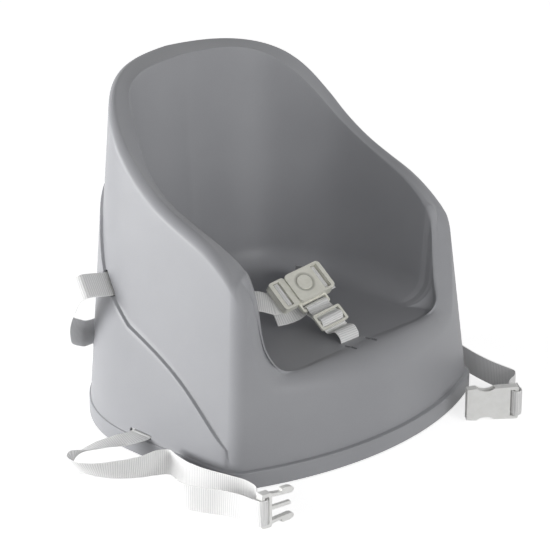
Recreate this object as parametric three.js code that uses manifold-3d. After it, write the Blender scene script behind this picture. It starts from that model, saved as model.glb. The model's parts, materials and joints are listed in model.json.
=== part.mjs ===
// A chair booster seat: a one-piece moulded bucket with a hollow underside, a three-point lap harness
// with a push-button buckle, and two webbing straps that tie the seat to a grown-up's chair.
// Millimetres, +Z up. The seat faces -Y. The origin is on the floor, under the middle of the footprint.
import * as THREE from 'three';
import { mergeVertices } from 'three/addons/utils/BufferGeometryUtils.js';
import Module from 'manifold-3d';

const wasm = await Module();
wasm.setup();

const DEGREE = Math.PI / 180;
const RUNNING_GAP = 0.3;

// Seat shell. Its outline is a chain of tangent arcs from the front centre to the back centre of one side:
// front bow, front corner, side and rear corner. A fifth arc closes it at the back centre.
const ARC_TURNS = [26, 59.8, 5.5, 38.15];
const FOOT_RADII = [356.6, 22.2, 1240, 147.5];
const CROWN_RADII = [281.8, 15.9, 1376, 50.8];
const CROWN_SETBACK = 34.8;
const CROWN_HEIGHT = 325;
const FLANGE_HEIGHT = 18;
const FLANGE_LEDGE = 4.6;
const FLANGE_ROUND = 1.2;
const SKIN = 3;
const FLOOR_HEIGHT = 95;
const FLOOR_FILLET = 28;
const FLOOR_MIDDLE_Y = -5;
const WALL_DRAFT = 4;
const RIM_BEAD = 1.6;
const PANEL_PROUD = 3;

// The rim's inner edge on the right side: place u on the outline, x, y and height. u counts the arcs.
const FRONT_LIP = FLOOR_HEIGHT + 1;
const RIM_EDGE = [
  [0, 0, -124, FRONT_LIP],
  [0.4, 52, -124, FRONT_LIP],
  [0.7, 88, -124, FRONT_LIP],
  [0.82, 102.5, -123.2, FRONT_LIP + 4],
  [0.88, 111.3, -120.3, FRONT_LIP + 14],
  [0.92, 116, -113.8, FRONT_LIP + 28],
  [0.95, 118, -110.7, 140],
  [0.98, 119, -108.4, 158],
  [1.03, 120.2, -106.4, 172],
  [1.2, 121.5, -103.2, 184],
  [1.6, 121.8, -99, 192],
  [2, 122.5, -92, 198],
  [2.25, 126.4, -66, 213],
  [2.5, 128.4, -38, 224],
  [2.75, 129.2, -6, 238],
  [3, 125.6, 24, 258],
  [3.5, 117, 46, 283],
  [4, 104, 68.7, 304.6],
  [4.2, 88, 87, 317],
  [4.5, 56, 101, 325],
  [5, 0, 107, 328],
];
// How far the rim's outer edge lies below its inner edge, and the round between rim and outer wall.
const RIM_FALL = [
  [0, 0], [0.7, 0], [0.95, 3], [1.5, 4], [2.5, 3.5], [2.75, 1.5],
  [3, -8], [3.5, -12], [4, -3], [4.5, -4], [5, -4],
];
const RIM_ROUND = [[0, 25], [0.7, 25], [0.9, 14], [1.1, 8], [1.6, 6], [5, 6]];

// The proud lower panel's upper border on the side wall: y and height, from the front foot to the back.
const PANEL_BORDER = [
  [-110, 20], [-106, 24], [-92, 51], [-73, 70], [-48, 90], [-17, 104], [3, 110.5],
  [29, 126], [46, 139], [67, 156], [80, 190], [92, 214], [110, 224], [130, 225],
];

// Webbing and its slots
const WEBBING_WIDTH = 25;
const WEBBING_THICKNESS = 1.4;
const SLOT_WIDTH = 3;
const SLOT_LENGTH = WEBBING_WIDTH + 3;
const BACK_SLOT = { y: 56, z: 148, tilt: 42 };
const BASE_SLOT = { y: -5, z: 21.4, tilt: 0 };
const CUT_DEPTH = 16;
const WAIST_SLOT = { x: 82, y: 22 };
const CROTCH_SLOT = { x: 0, y: -110.5 };
const ANCHOR_WIDTH = 12;
const ANCHOR_THICKNESS = 3;
const ANCHOR_MARGIN = 3;
const TAB_SLIT = { x: 14, front: -131.5, back: -116, width: 1.2 };

// Non-slip feet
const FOOT_RADIUS = 9;
const FOOT_THICKNESS = 3;
const FOOT_SHOWS = 1.2;
const BOSS_WALL = 2.5;
const FRONT_FOOT_PLACE = 1.5;
const REAR_FOOT_PLACE = 3.9;

// Harness buckle, in its own frame: x along the lap, y up the lap, z out of the front face, and the button
// on the origin. The right lap belt is threaded through the case itself, the left one through the tongue.
const BUCKLE_PLACE = [3.64, -47.2, FLOOR_HEIGHT + 36.7];
const BUCKLE_ALONG = [0.977, -0.137, 0.162];
const BUCKLE_FACE = [-0.212, -0.598, 0.772];
const CASE_LEFT = -16;
const CASE_RIGHT = 26;
const CASE_HEIGHT = 31;
const CASE_MIDDLE_Y = -1.5;
const CASE_HALF_THICKNESS = 6.2;
const CASE_CORNER = 4;
const BRACKET_DROP = 8.5;
const TONGUE_THICKNESS = 2.6;
const TONGUE_BLADE_WIDTH = 17;
const TONGUE_FORK_WIDTH = 6;
const TONGUE_TIP = 8;
const TONGUE_END = -34;
const TONGUE_HALF_THICKNESS = 4.2;
const STRAP_BAR = 3.2;
const STRAP_WINDOW = 4.4;
const BELT_WINDOW = 7.4;
const BELT_BAR = 2.6;
const BELT_BAR_HALF_THICKNESS = 1.5;
const BELT_WINDOW_FROM_END = 7.7;
const DISH_RADIUS = 11.2;
const DISH_DEPTH = 0.8;
const BUTTON_RADIUS = 8;
const BUTTON_LIP = 1;
const SPRING_RADIUS = 1.5;
const SPRING_WIRE = 0.25;
const SPRING_TURNS = 4;

// The crotch strap's slide: a flat frame with two windows, in the buckle's frame
const SLIDE_PLACE = [-0.9, -43.2, 6.3];
const SLIDE_THICKNESS = 2.4;
const SLIDE_RIM = 2;
const SLIDE_BAR = 2.6;
const SLIDE_WINDOW = 5.4;

// Side-release buckles on the two tying straps
const CLIP_WIDTH = 33;
const CLIP_THICKNESS = 8;
const MALE_BODY = 11;
const PRONG_LENGTH = 25;
const PRONG_THICKNESS = 5;
const FEMALE_LENGTH = 50;
const CLIP_BAR = 3.5;
const CLIP_WINDOW = 4.5;
const CLIP_STANDS = 0.4;
const CLIP_MIDDLE = CLIP_STANDS + CLIP_WIDTH / 2;
const WEB_EDGE = CLIP_STANDS + WEBBING_WIDTH / 2;
const BASE_MALE = { x: -202, y: -187, angle: -10 };
const BASE_FEMALE = { x: 98.5, y: -172, angle: -39 };
const BACK_MALE = { x: -26, y: 193, angle: 0 };
const BACK_FEMALE = { x: 30, y: 193, angle: 0 };

const COLOURS = {
  shell: 0xa6a7ab,
  webbing: 0xf2f2f0,
  buckle: 0xdcdcd0,
  clip: 0xe4e4df,
  rubber: 0x55575a,
  steel: 0xc8c9cc,
};

const seat = new THREE.Group();

// Interpolates a table of [u, value, ...] rows smoothly, with slopes from the neighbouring rows.
function smoothRow(table, u) {
  let i = 0;
  while (i < table.length - 2 && u > table[i + 1][0]) i += 1;
  const from = table[i];
  const to = table[i + 1];
  const before = table[Math.max(i - 1, 0)];
  const after = table[Math.min(i + 2, table.length - 1)];
  const span = to[0] - from[0];
  const t = THREE.MathUtils.clamp((u - from[0]) / span, 0, 1);
  return from.slice(1).map((start, k) => {
    const end = to[k + 1];
    const slopeIn = ((end - before[k + 1]) / (to[0] - before[0])) * span;
    const slopeOut = ((after[k + 1] - start) / (after[0] - from[0])) * span;
    const square = t * t;
    const cube = square * t;
    return (2 * cube - 3 * square + 1) * start + (cube - 2 * square + t) * slopeIn
      + (3 * square - 2 * cube) * end + (cube - square) * slopeOut;
  });
}

// Straight interpolation in a table of [key, value] rows.
function straightValue(table, key) {
  let i = 0;
  while (i < table.length - 2 && key > table[i + 1][0]) i += 1;
  const [fromKey, fromValue] = table[i];
  const [toKey, toValue] = table[i + 1];
  const t = THREE.MathUtils.clamp((key - fromKey) / (toKey - fromKey), 0, 1);
  return fromValue + (toValue - fromValue) * t;
}

// A chain of tangent arcs: place(u) gives x, y and heading, where u counts arcs from the front centre.
function arcChain(radii, frontY) {
  const turns = ARC_TURNS.map((turn) => turn * DEGREE);
  const starts = [{ x: 0, y: frontY, heading: 0 }];
  const step = (from, radius, turn) => ({
    x: from.x + radius * (Math.sin(from.heading + turn) - Math.sin(from.heading)),
    y: from.y + radius * (Math.cos(from.heading) - Math.cos(from.heading + turn)),
    heading: from.heading + turn,
  });
  turns.forEach((turn, i) => starts.push(step(starts[i], radii[i], turn)));
  const last = starts[turns.length];
  const allTurns = [...turns, Math.PI - last.heading];
  const allRadii = [...radii.slice(0, turns.length), last.x / Math.sin(last.heading)];
  return (u) => {
    const i = Math.min(Math.floor(u), turns.length);
    return step(starts[i], allRadii[i], allTurns[i] * (u - i));
  };
}

const ARCS = ARC_TURNS.length + 1;
const BACK_CENTRE = ARCS;
const footDepth = arcChain(FOOT_RADII, 0)(BACK_CENTRE).y;
const FRONT_Y = -footDepth / 2;
const footOutline = arcChain(FOOT_RADII, FRONT_Y);
const crownOutline = arcChain(CROWN_RADII, FRONT_Y + CROWN_SETBACK);
const FLANGE_BOTTOM = FOOT_SHOWS;

// The flange's outline, moved in by a distance.
function flangePoint(u, z, inset) {
  const at = footOutline(u);
  return [at.x - Math.sin(at.heading) * inset, at.y + Math.cos(at.heading) * inset, z];
}

// The outer wall: a straight loft from the flange's ledge to the crown, moved out by a distance.
function wallPoint(u, z, outset) {
  const foot = footOutline(u);
  const crown = crownOutline(u);
  const rise = Math.max(z - FLANGE_HEIGHT, 0) / (CROWN_HEIGHT - FLANGE_HEIGHT);
  const out = outset - FLANGE_LEDGE * (1 - rise);
  return [
    foot.x + (crown.x - foot.x) * rise + Math.sin(foot.heading) * out,
    foot.y + (crown.y - foot.y) * rise - Math.cos(foot.heading) * out,
    z,
  ];
}

// Finds by halving where a rising function passes zero.
function solve(low, high, rising) {
  for (let i = 0; i < 40; i += 1) {
    const middle = (low + high) / 2;
    if (rising(middle) > 0) high = middle;
    else low = middle;
  }
  return (low + high) / 2;
}

// The place u on the right wall that lies at this y and height.
function wallPlace(y, z) {
  return solve(1.5, 4.5, (u) => wallPoint(u, z, 0)[1] - y);
}

// The height of the proud panel's border on a column of the wall, and how far it stands proud there.
function panelBorder(u) {
  const low = PANEL_BORDER[0][1];
  const high = PANEL_BORDER[PANEL_BORDER.length - 1][1];
  return solve(low, high, (z) => z - straightValue(PANEL_BORDER, wallPoint(u, z, 0)[1]));
}

function panelProud(border) {
  const fade = 30;
  return PANEL_PROUD * THREE.MathUtils.smoothstep(border, FLANGE_HEIGHT + 2, FLANGE_HEIGHT + fade);
}

// One column of the shell's section, from the flange over the rim to the seat floor.
// Skin 0 is the outside; a positive skin is the hollow underneath, that far inside the outside.
function shellColumn(u, skin) {
  const rows = [];
  const border = panelBorder(u);
  const proud = panelProud(border);
  if (skin === 0) {
    rows.push(flangePoint(u, FLANGE_BOTTOM, FLANGE_ROUND));
    rows.push(flangePoint(u, FLANGE_BOTTOM + FLANGE_ROUND, 0));
    rows.push(flangePoint(u, FLANGE_HEIGHT - FLANGE_ROUND, 0));
    rows.push(flangePoint(u, FLANGE_HEIGHT, FLANGE_ROUND));
  } else {
    rows.push(wallPoint(u, -FLANGE_HEIGHT, proud - skin));
  }

  const [edgeX, edgeY, edgeHeight] = smoothRow(RIM_EDGE, u);
  const fall = straightValue(RIM_FALL, u);
  const toMiddle = new THREE.Vector2(-edgeX, FLOOR_MIDDLE_Y - edgeY).normalize();
  const edge = new THREE.Vector2(edgeX, edgeY).addScaledVector(toMiddle, -skin * 1.15);
  const edgeZ = edgeHeight - skin;
  const rimZ = edgeZ - fall;
  const wallTop = wallPoint(u, rimZ, -skin);
  const inward = edge.clone().sub(new THREE.Vector2(wallTop[0], wallTop[1]));
  const width = inward.length();
  inward.normalize();
  const round = Math.min(Math.max(straightValue(RIM_ROUND, u) - skin, 1), width * 0.85);

  // Outer wall: the proud panel, its step, and the plain wall above it.
  const stepRise = 1.6;
  const wallEnd = rimZ - round;
  const panelTop = Math.min(border, wallEnd - 3 * stepRise);
  const panelRows = skin === 0 ? [0, 0.35, 0.7, 1] : [0, 1];
  for (const f of panelRows) {
    rows.push(wallPoint(u, FLANGE_HEIGHT + (panelTop - FLANGE_HEIGHT) * f, proud - skin));
  }
  const plainRows = skin === 0 ? [0, 0.35, 0.7, 1] : [0, 1];
  for (const f of plainRows) {
    const z = panelTop + stepRise + (wallEnd - panelTop - stepRise) * f;
    rows.push(wallPoint(u, z, -skin));
  }

  // Rim: a quarter round, a slightly crowned band and the bead at its inner edge.
  const onRim = (distance, z) => [wallTop[0] + inward.x * distance, wallTop[1] + inward.y * distance, z];
  const roundSteps = skin === 0 ? 3 : 2;
  for (let i = 1; i <= roundSteps; i += 1) {
    const angle = (i / roundSteps) * 90 * DEGREE;
    rows.push(onRim(round * (1 - Math.cos(angle)), rimZ - round * (1 - Math.sin(angle))));
  }
  const drop = edgeZ - (FLOOR_HEIGHT - skin);
  const bead = Math.min(RIM_BEAD, drop * 0.4);
  if (skin === 0) {
    rows.push(onRim((round + width) / 2, rimZ + fall * 0.6));
    rows.push(onRim(width - bead, edgeZ));
    rows.push(onRim(width - bead * 0.3, edgeZ - bead * 0.3));
  }

  // Inner wall with its draft, the round into the floor, and the floor.
  const lean = Math.tan(WALL_DRAFT * DEGREE);
  const inside = (distance, z) => [edge.x + toMiddle.x * distance, edge.y + toMiddle.y * distance, z];
  const wallHeight = drop - bead;
  const fillet = Math.min(FLOOR_FILLET + skin, wallHeight * 0.9);
  const filletTop = FLOOR_HEIGHT - skin + fillet;
  rows.push(inside(0, edgeZ - bead));
  const wallRows = skin === 0 ? [0.5, 1] : [1];
  for (const f of wallRows) {
    const z = edgeZ - bead + (filletTop - edgeZ + bead) * f;
    rows.push(inside((edgeZ - bead - z) * lean, z));
  }
  const footDistance = (edgeZ - bead - filletTop) * lean;
  const filletReach = Math.max(fillet, 5);
  for (let i = 1; i <= 4; i += 1) {
    const angle = (i / 4) * 90 * DEGREE;
    const distance = footDistance + filletReach * (1 - Math.cos(angle));
    rows.push(inside(distance, filletTop - fillet * Math.sin(angle)));
  }
  return rows;
}

// Places of the columns round one side, denser where the rim drops to the front opening.
function columnPlaces() {
  const stretches = [[0.7, 4], [1.06, 11], [2, 6], [3, 5], [4, 8], [5, 6]];
  const places = [0];
  for (const [end, steps] of stretches) {
    const start = places[places.length - 1];
    for (let i = 1; i <= steps; i += 1) places.push(start + ((end - start) * i) / steps);
  }
  return places;
}

// A closed surface from rings of equal length, each end closed by a fan to its middle point. Each quad is
// split along its shorter diagonal, so that the two faces of a twisted strap bend alike and never cross.
function ringsGeometry(rings, firstPole, lastPole) {
  const count = rings[0].length;
  const points = [...rings.flat(), firstPole, lastPole];
  const gap = (i, j) => Math.hypot(...points[i].map((value, k) => value - points[j][k]));
  const first = rings.length * count;
  const index = [];
  for (let i = 0; i < count; i += 1) {
    const next = (i + 1) % count;
    for (let r = 0; r < rings.length - 1; r += 1) {
      const a = r * count + i;
      const b = r * count + next;
      if (gap(a, b + count) <= gap(b, a + count)) index.push(a, b, b + count, a, b + count, a + count);
      else index.push(a, b, a + count, b, b + count, a + count);
    }
    const lastRow = (rings.length - 1) * count;
    index.push(first, next, i);
    index.push(first + 1, lastRow + i, lastRow + next);
  }
  const geometry = new THREE.BufferGeometry();
  geometry.setAttribute('position', new THREE.Float32BufferAttribute(points.flat(), 3));
  geometry.setIndex(index);
  return geometry;
}

// The shell's outside or its hollow, as a closed surface of columns mirrored to the left side.
function shellBody(skin) {
  const right = columnPlaces().map((u) => shellColumn(u, skin));
  const mirrored = right.slice(1, -1).reverse();
  const left = mirrored.map((column) => column.map(([x, y, z]) => [-x, y, z]));
  const columns = [...right, ...left];
  const rings = right[0].map((_, row) => columns.map((column) => column[row]));
  const bottom = rings[0][0][2];
  return ringsGeometry(rings, [0, FLOOR_MIDDLE_Y, bottom], [0, FLOOR_MIDDLE_Y, FLOOR_HEIGHT - skin]);
}

// Turns a closed geometry into a solid for cutting and joining, and a solid back into a geometry.
function solidOf(geometry) {
  const bare = geometry.clone();
  bare.deleteAttribute('normal');
  bare.deleteAttribute('uv');
  const merged = mergeVertices(bare, 1e-4);
  const vertProperties = new Float32Array(merged.attributes.position.array);
  const triVerts = new Uint32Array(merged.index.array);
  return new wasm.Manifold(new wasm.Mesh({ numProp: 3, vertProperties, triVerts }));
}

function geometryOf(solid) {
  const mesh = solid.getMesh();
  const geometry = new THREE.BufferGeometry();
  geometry.setAttribute('position', new THREE.Float32BufferAttribute(mesh.vertProperties, 3));
  geometry.setIndex(new THREE.Uint32BufferAttribute(mesh.triVerts, 1));
  return geometry;
}

function boxAt(width, depth, height, x, y, z) {
  return new THREE.BoxGeometry(width, depth, height).translate(x, y, z);
}

// A cylinder that stands along Z on a height.
function standingCylinder(radius, height, x, y, z, sides) {
  return new THREE.CylinderGeometry(radius, radius, height, sides)
    .rotateX(90 * DEGREE)
    .translate(x, y, z + height / 2);
}

function addPiece(name, geometry, colour, roughness, metalness, parent = seat) {
  const material = new THREE.MeshStandardMaterial({ color: colour, roughness, metalness });
  const mesh = new THREE.Mesh(geometry, material);
  mesh.name = name;
  parent.add(mesh);
  return mesh;
}

// Where the feet stand: under the boss that is joined to the inside of the wall at a place u.
function footPlace(u) {
  const innerFace = panelProud(panelBorder(u)) - SKIN;
  const [x, y] = wallPoint(u, FLANGE_HEIGHT, innerFace + SKIN / 2 - (FOOT_RADIUS + BOSS_WALL));
  return { x, y };
}

const FEET = [
  { name: 'foot_front_right', side: 1, ...footPlace(FRONT_FOOT_PLACE) },
  { name: 'foot_front_left', side: -1, ...footPlace(FRONT_FOOT_PLACE) },
  { name: 'foot_rear_right', side: 1, ...footPlace(REAR_FOOT_PLACE) },
  { name: 'foot_rear_left', side: -1, ...footPlace(REAR_FOOT_PLACE) },
];

// The middle of a slot in the side wall, the wall's outward direction there, and the slot's long direction,
// which is level at tilt 0 and stands up at tilt 90.
function sideSlotFrame(slot, side) {
  const u = wallPlace(slot.y, slot.z);
  const proud = slot.z < panelBorder(u) ? panelProud(panelBorder(u)) : 0;
  const [x] = wallPoint(u, slot.z, proud);
  const heading = footOutline(u).heading;
  const normal = new THREE.Vector3(side * Math.sin(heading), -Math.cos(heading), 0);
  const level = new THREE.Vector3(side * Math.cos(heading), Math.sin(heading), 0);
  const along = level.multiplyScalar(Math.cos(slot.tilt * DEGREE));
  along.z = Math.sin(slot.tilt * DEGREE);
  return { centre: new THREE.Vector3(side * x, slot.y, slot.z), normal, along };
}

// A slot through the side wall.
function sideSlotCutter(slot, side) {
  const { centre, normal, along } = sideSlotFrame(slot, side);
  const across = new THREE.Vector3().crossVectors(normal, along);
  const cutter = new THREE.BoxGeometry(CUT_DEPTH, SLOT_LENGTH, SLOT_WIDTH);
  cutter.applyMatrix4(new THREE.Matrix4().makeBasis(normal, along, across));
  return cutter.translate(centre.x, centre.y, centre.z);
}

function makeShell() {
  let shell = solidOf(shellBody(0)).subtract(solidOf(shellBody(SKIN)));
  const recess = FOOT_THICKNESS - FOOT_SHOWS + RUNNING_GAP;
  const bossRadius = FOOT_RADIUS + BOSS_WALL;
  const bossHeight = FLANGE_HEIGHT - FLANGE_BOTTOM;
  const pocketRadius = FOOT_RADIUS + RUNNING_GAP;
  for (const { side, x, y } of FEET) {
    const boss = standingCylinder(bossRadius, bossHeight, side * x, y, FLANGE_BOTTOM, 28);
    const pocket = standingCylinder(pocketRadius, 2 * recess, side * x, y, FLANGE_BOTTOM - recess, 24);
    shell = shell.add(solidOf(boss)).subtract(solidOf(pocket));
  }
  const cutters = [];
  for (const side of [1, -1]) {
    cutters.push(sideSlotCutter(BACK_SLOT, side));
    cutters.push(sideSlotCutter(BASE_SLOT, side));
    cutters.push(boxAt(SLOT_WIDTH, SLOT_LENGTH, CUT_DEPTH, side * WAIST_SLOT.x, WAIST_SLOT.y, FLOOR_HEIGHT));
    const slitLength = TAB_SLIT.back - TAB_SLIT.front;
    const slitMiddle = (TAB_SLIT.back + TAB_SLIT.front) / 2;
    cutters.push(boxAt(TAB_SLIT.width, slitLength, CUT_DEPTH, side * TAB_SLIT.x, slitMiddle, FLOOR_HEIGHT));
  }
  cutters.push(boxAt(SLOT_LENGTH, SLOT_WIDTH, CUT_DEPTH, CROTCH_SLOT.x, CROTCH_SLOT.y, FLOOR_HEIGHT));
  for (const cutter of cutters) shell = shell.subtract(solidOf(cutter));
  addPiece('seat_shell', geometryOf(shell), COLOURS.shell, 0.55, 0);
}

function makeFeet() {
  for (const { name, side, x, y } of FEET) {
    addPiece(name, standingCylinder(FOOT_RADIUS, FOOT_THICKNESS, side * x, y, 0, 24), COLOURS.rubber, 0.9, 0);
  }
}

// Webbing carried along a smooth path. A station is [x, y, z, wx, wy, wz]: a point of the middle line
// and the direction across the webbing there.
function webbing(stations) {
  const points = stations.map(([x, y, z]) => new THREE.Vector3(x, y, z));
  const path = new THREE.CatmullRomCurve3(points, false, 'centripetal');
  const spans = stations.length - 1;
  const steps = spans * 3;
  const rings = [];
  for (let i = 0; i <= steps; i += 1) {
    const t = i / steps;
    const span = Math.min(Math.floor(t * spans), spans - 1);
    const from = new THREE.Vector3(...stations[span].slice(3));
    const across = from.lerp(new THREE.Vector3(...stations[span + 1].slice(3)), t * spans - span);
    const tangent = path.getTangent(t);
    across.addScaledVector(tangent, -across.dot(tangent)).setLength(WEBBING_WIDTH / 2);
    const up = new THREE.Vector3().crossVectors(tangent, across).setLength(WEBBING_THICKNESS / 2);
    const middle = path.getPoint(t);
    const corner = (a, b) => middle.clone().addScaledVector(across, a).addScaledVector(up, b).toArray();
    rings.push([corner(1, -1), corner(1, 1), corner(-1, 1), corner(-1, -1)]);
  }
  return ringsGeometry(rings, points[0].toArray(), points[spans].toArray());
}

function addWebbing(name, stations) {
  addPiece(name, webbing(stations), COLOURS.webbing, 0.85, 0);
}

function roundedRectangle(width, height, radius, x, y) {
  const shape = new THREE.Shape();
  const right = x + width / 2;
  const top = y + height / 2;
  shape.absarc(right - radius, top - radius, radius, 0, 90 * DEGREE);
  shape.absarc(right - width + radius, top - radius, radius, 90 * DEGREE, 180 * DEGREE);
  shape.absarc(right - width + radius, top - height + radius, radius, 180 * DEGREE, 270 * DEGREE);
  shape.absarc(right - radius, top - height + radius, radius, 270 * DEGREE, 360 * DEGREE);
  shape.closePath();
  return shape;
}

// A plate from a flat outline, from one height to another.
function plate(shape, bottom, top) {
  return new THREE.ExtrudeGeometry(shape, { depth: top - bottom, bevelEnabled: false, curveSegments: 4 })
    .translate(0, 0, bottom);
}

// Web stops under the seat floor: the strap comes down through the floor and the stop, and turns back.
const STOP_TOP = FLOOR_HEIGHT - SKIN - RUNNING_GAP;
const STOP_BOTTOM = STOP_TOP - ANCHOR_THICKNESS;
const STRAP_UNDER_STOP = STOP_BOTTOM - RUNNING_GAP - WEBBING_THICKNESS / 2;
const STOP_LENGTH = SLOT_LENGTH + 2 * ANCHOR_MARGIN;

function makeWebStop(name, x, y, turned) {
  const shape = roundedRectangle(STOP_LENGTH, ANCHOR_WIDTH, 2, 0, 0);
  shape.holes.push(roundedRectangle(SLOT_LENGTH, SLOT_WIDTH, 0.5, 0, 0));
  const geometry = plate(shape, STOP_BOTTOM, STOP_TOP).rotateZ(turned * DEGREE).translate(x, y, 0);
  addPiece(name, geometry, COLOURS.clip, 0.5, 0);
}

function makeWebStops() {
  makeWebStop('crotch_web_stop', CROTCH_SLOT.x, CROTCH_SLOT.y, 0);
  makeWebStop('waist_web_stop_right', WAIST_SLOT.x, WAIST_SLOT.y, 90);
  makeWebStop('waist_web_stop_left', -WAIST_SLOT.x, WAIST_SLOT.y, 90);
}

// The strap's turn under a web stop and up through the floor. across counts from the slot's middle.
function throughStop(station) {
  return [
    station(11, STRAP_UNDER_STOP - 0.2),
    station(4, STRAP_UNDER_STOP - 0.2),
    station(0.9, STRAP_UNDER_STOP - 0.4),
    station(-0.3, STRAP_UNDER_STOP + 0.9),
    station(0, STOP_TOP),
    station(0, FLOOR_HEIGHT + 1),
  ];
}

// The harness buckle's own frame as a group: x along the lap, y up the lap, z out of its face.
const buckleZ = new THREE.Vector3(...BUCKLE_FACE).normalize();
const buckleAlong = new THREE.Vector3(...BUCKLE_ALONG);
const buckleX = buckleAlong.addScaledVector(buckleZ, -buckleAlong.dot(buckleZ)).normalize();
const buckleY = new THREE.Vector3().crossVectors(buckleZ, buckleX);
const buckle = new THREE.Group();
buckle.applyMatrix4(new THREE.Matrix4().makeBasis(buckleX, buckleY, buckleZ).setPosition(...BUCKLE_PLACE));
buckle.updateMatrixWorld(true);
seat.add(buckle);

// Sizes inside the buckle, from its middle plane outwards
const SPLIT = RUNNING_GAP / 2;
const CHANNEL = TONGUE_THICKNESS / 2 + RUNNING_GAP;
const CHANNEL_WIDTH = TONGUE_BLADE_WIDTH + 2 * RUNNING_GAP;
const LIP_THICKNESS = 0.7;
const LIP_BOTTOM = CASE_HALF_THICKNESS - DISH_DEPTH - LIP_THICKNESS;
const SKIRT_TOP = LIP_BOTTOM - RUNNING_GAP;
const SKIRT_THICKNESS = 0.6;
const BUTTON_TRAVEL = 2;
const STEM_RADIUS = 0.9;
const SPRING_BOTTOM = -CHANNEL + RUNNING_GAP;
const SPRING_TOP = SKIRT_TOP - SKIRT_THICKNESS - RUNNING_GAP;
const BRACKET_WIDTH = SLOT_LENGTH + 4;
const BRACKET_TOP = -1;
const BRACKET_BOTTOM = -4.4;
const BRACKET_END = CASE_MIDDLE_Y - CASE_HEIGHT / 2 - BRACKET_DROP;
const CASE_WINDOW_X = CASE_RIGHT - BELT_WINDOW_FROM_END;
const TONGUE_WINDOW_X = TONGUE_END + BELT_WINDOW_FROM_END;
const WINDOW_LENGTH = WEBBING_WIDTH + 1.2;

function beltWindow(x) {
  return boxAt(BELT_WINDOW, WINDOW_LENGTH, 4 * CASE_HALF_THICKNESS, x, CASE_MIDDLE_Y, 0);
}

// The two halves of the case. The back half carries the belt's bar and the bracket for the crotch strap.
function makeBuckleCase() {
  const length = CASE_RIGHT - CASE_LEFT;
  const outline = roundedRectangle(length, CASE_HEIGHT, CASE_CORNER, CASE_LEFT + length / 2, CASE_MIDDLE_Y);
  const channelEnd = TONGUE_TIP + RUNNING_GAP;
  const channelLength = 2 * (channelEnd - CASE_LEFT);
  const channel = boxAt(channelLength, CHANNEL_WIDTH, 2 * CHANNEL, channelEnd - channelLength / 2, 0, 0);
  const bracketHeight = BRACKET_DROP + CASE_CORNER;
  const bracket = roundedRectangle(BRACKET_WIDTH, bracketHeight, 2, 0, BRACKET_END + bracketHeight / 2);
  const window = BRACKET_END + STRAP_BAR + STRAP_WINDOW / 2;
  bracket.holes.push(roundedRectangle(SLOT_LENGTH, STRAP_WINDOW, 0.5, 0, window));
  const barRoot = BELT_BAR_HALF_THICKNESS - SPLIT;
  const rootMiddle = -SPLIT - barRoot / 2;
  const root = boxAt(BELT_BAR, WINDOW_LENGTH + 2, barRoot, CASE_WINDOW_X, CASE_MIDDLE_Y, rootMiddle);
  const barLength = WINDOW_LENGTH - 2 * RUNNING_GAP;
  const bar = boxAt(BELT_BAR, barLength, 2 * BELT_BAR_HALF_THICKNESS, CASE_WINDOW_X, CASE_MIDDLE_Y, 0);
  const back = solidOf(plate(outline, -CASE_HALF_THICKNESS, -SPLIT))
    .add(solidOf(plate(bracket, BRACKET_BOTTOM, BRACKET_TOP)))
    .subtract(solidOf(channel))
    .subtract(solidOf(beltWindow(CASE_WINDOW_X)))
    .add(solidOf(root))
    .add(solidOf(bar));
  const bore = standingCylinder(BUTTON_RADIUS + RUNNING_GAP, 2 * CASE_HALF_THICKNESS, 0, 0, 0, 32);
  const chamber = standingCylinder(BUTTON_RADIUS + BUTTON_LIP + RUNNING_GAP, LIP_BOTTOM, 0, 0, 0, 32);
  const dishFloor = CASE_HALF_THICKNESS - DISH_DEPTH;
  const dishProfile = [
    [0, dishFloor],
    [BUTTON_RADIUS + 1, dishFloor],
    [DISH_RADIUS, CASE_HALF_THICKNESS],
    [DISH_RADIUS, CASE_HALF_THICKNESS + 1],
    [0, CASE_HALF_THICKNESS + 1],
  ].map(([radius, height]) => new THREE.Vector2(radius, height));
  const dish = new THREE.LatheGeometry(dishProfile, 32).rotateX(90 * DEGREE);
  const front = solidOf(plate(outline, SPLIT, CASE_HALF_THICKNESS))
    .subtract(solidOf(channel))
    .subtract(solidOf(beltWindow(CASE_WINDOW_X)))
    .subtract(solidOf(bore))
    .subtract(solidOf(chamber))
    .subtract(solidOf(dish));
  addPiece('buckle_back_cover', geometryOf(back), COLOURS.buckle, 0.45, 0, buckle);
  addPiece('buckle_front_cover', geometryOf(front), COLOURS.buckle, 0.45, 0, buckle);
}

function makeButton() {
  const edge = 0.5;
  const profile = [
    [0, SPRING_BOTTOM + BUTTON_TRAVEL + RUNNING_GAP],
    [STEM_RADIUS, SPRING_BOTTOM + BUTTON_TRAVEL + RUNNING_GAP],
    [STEM_RADIUS, SKIRT_TOP - SKIRT_THICKNESS],
    [BUTTON_RADIUS + BUTTON_LIP, SKIRT_TOP - SKIRT_THICKNESS],
    [BUTTON_RADIUS + BUTTON_LIP, SKIRT_TOP],
    [BUTTON_RADIUS, SKIRT_TOP],
    [BUTTON_RADIUS, CASE_HALF_THICKNESS - edge],
    [BUTTON_RADIUS - edge, CASE_HALF_THICKNESS],
    [0, CASE_HALF_THICKNESS - edge],
  ].map(([radius, height]) => new THREE.Vector2(radius, height));
  const geometry = new THREE.LatheGeometry(profile, 32).rotateX(90 * DEGREE);
  addPiece('release_button', geometry, COLOURS.buckle, 0.4, 0, buckle);
}

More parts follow.
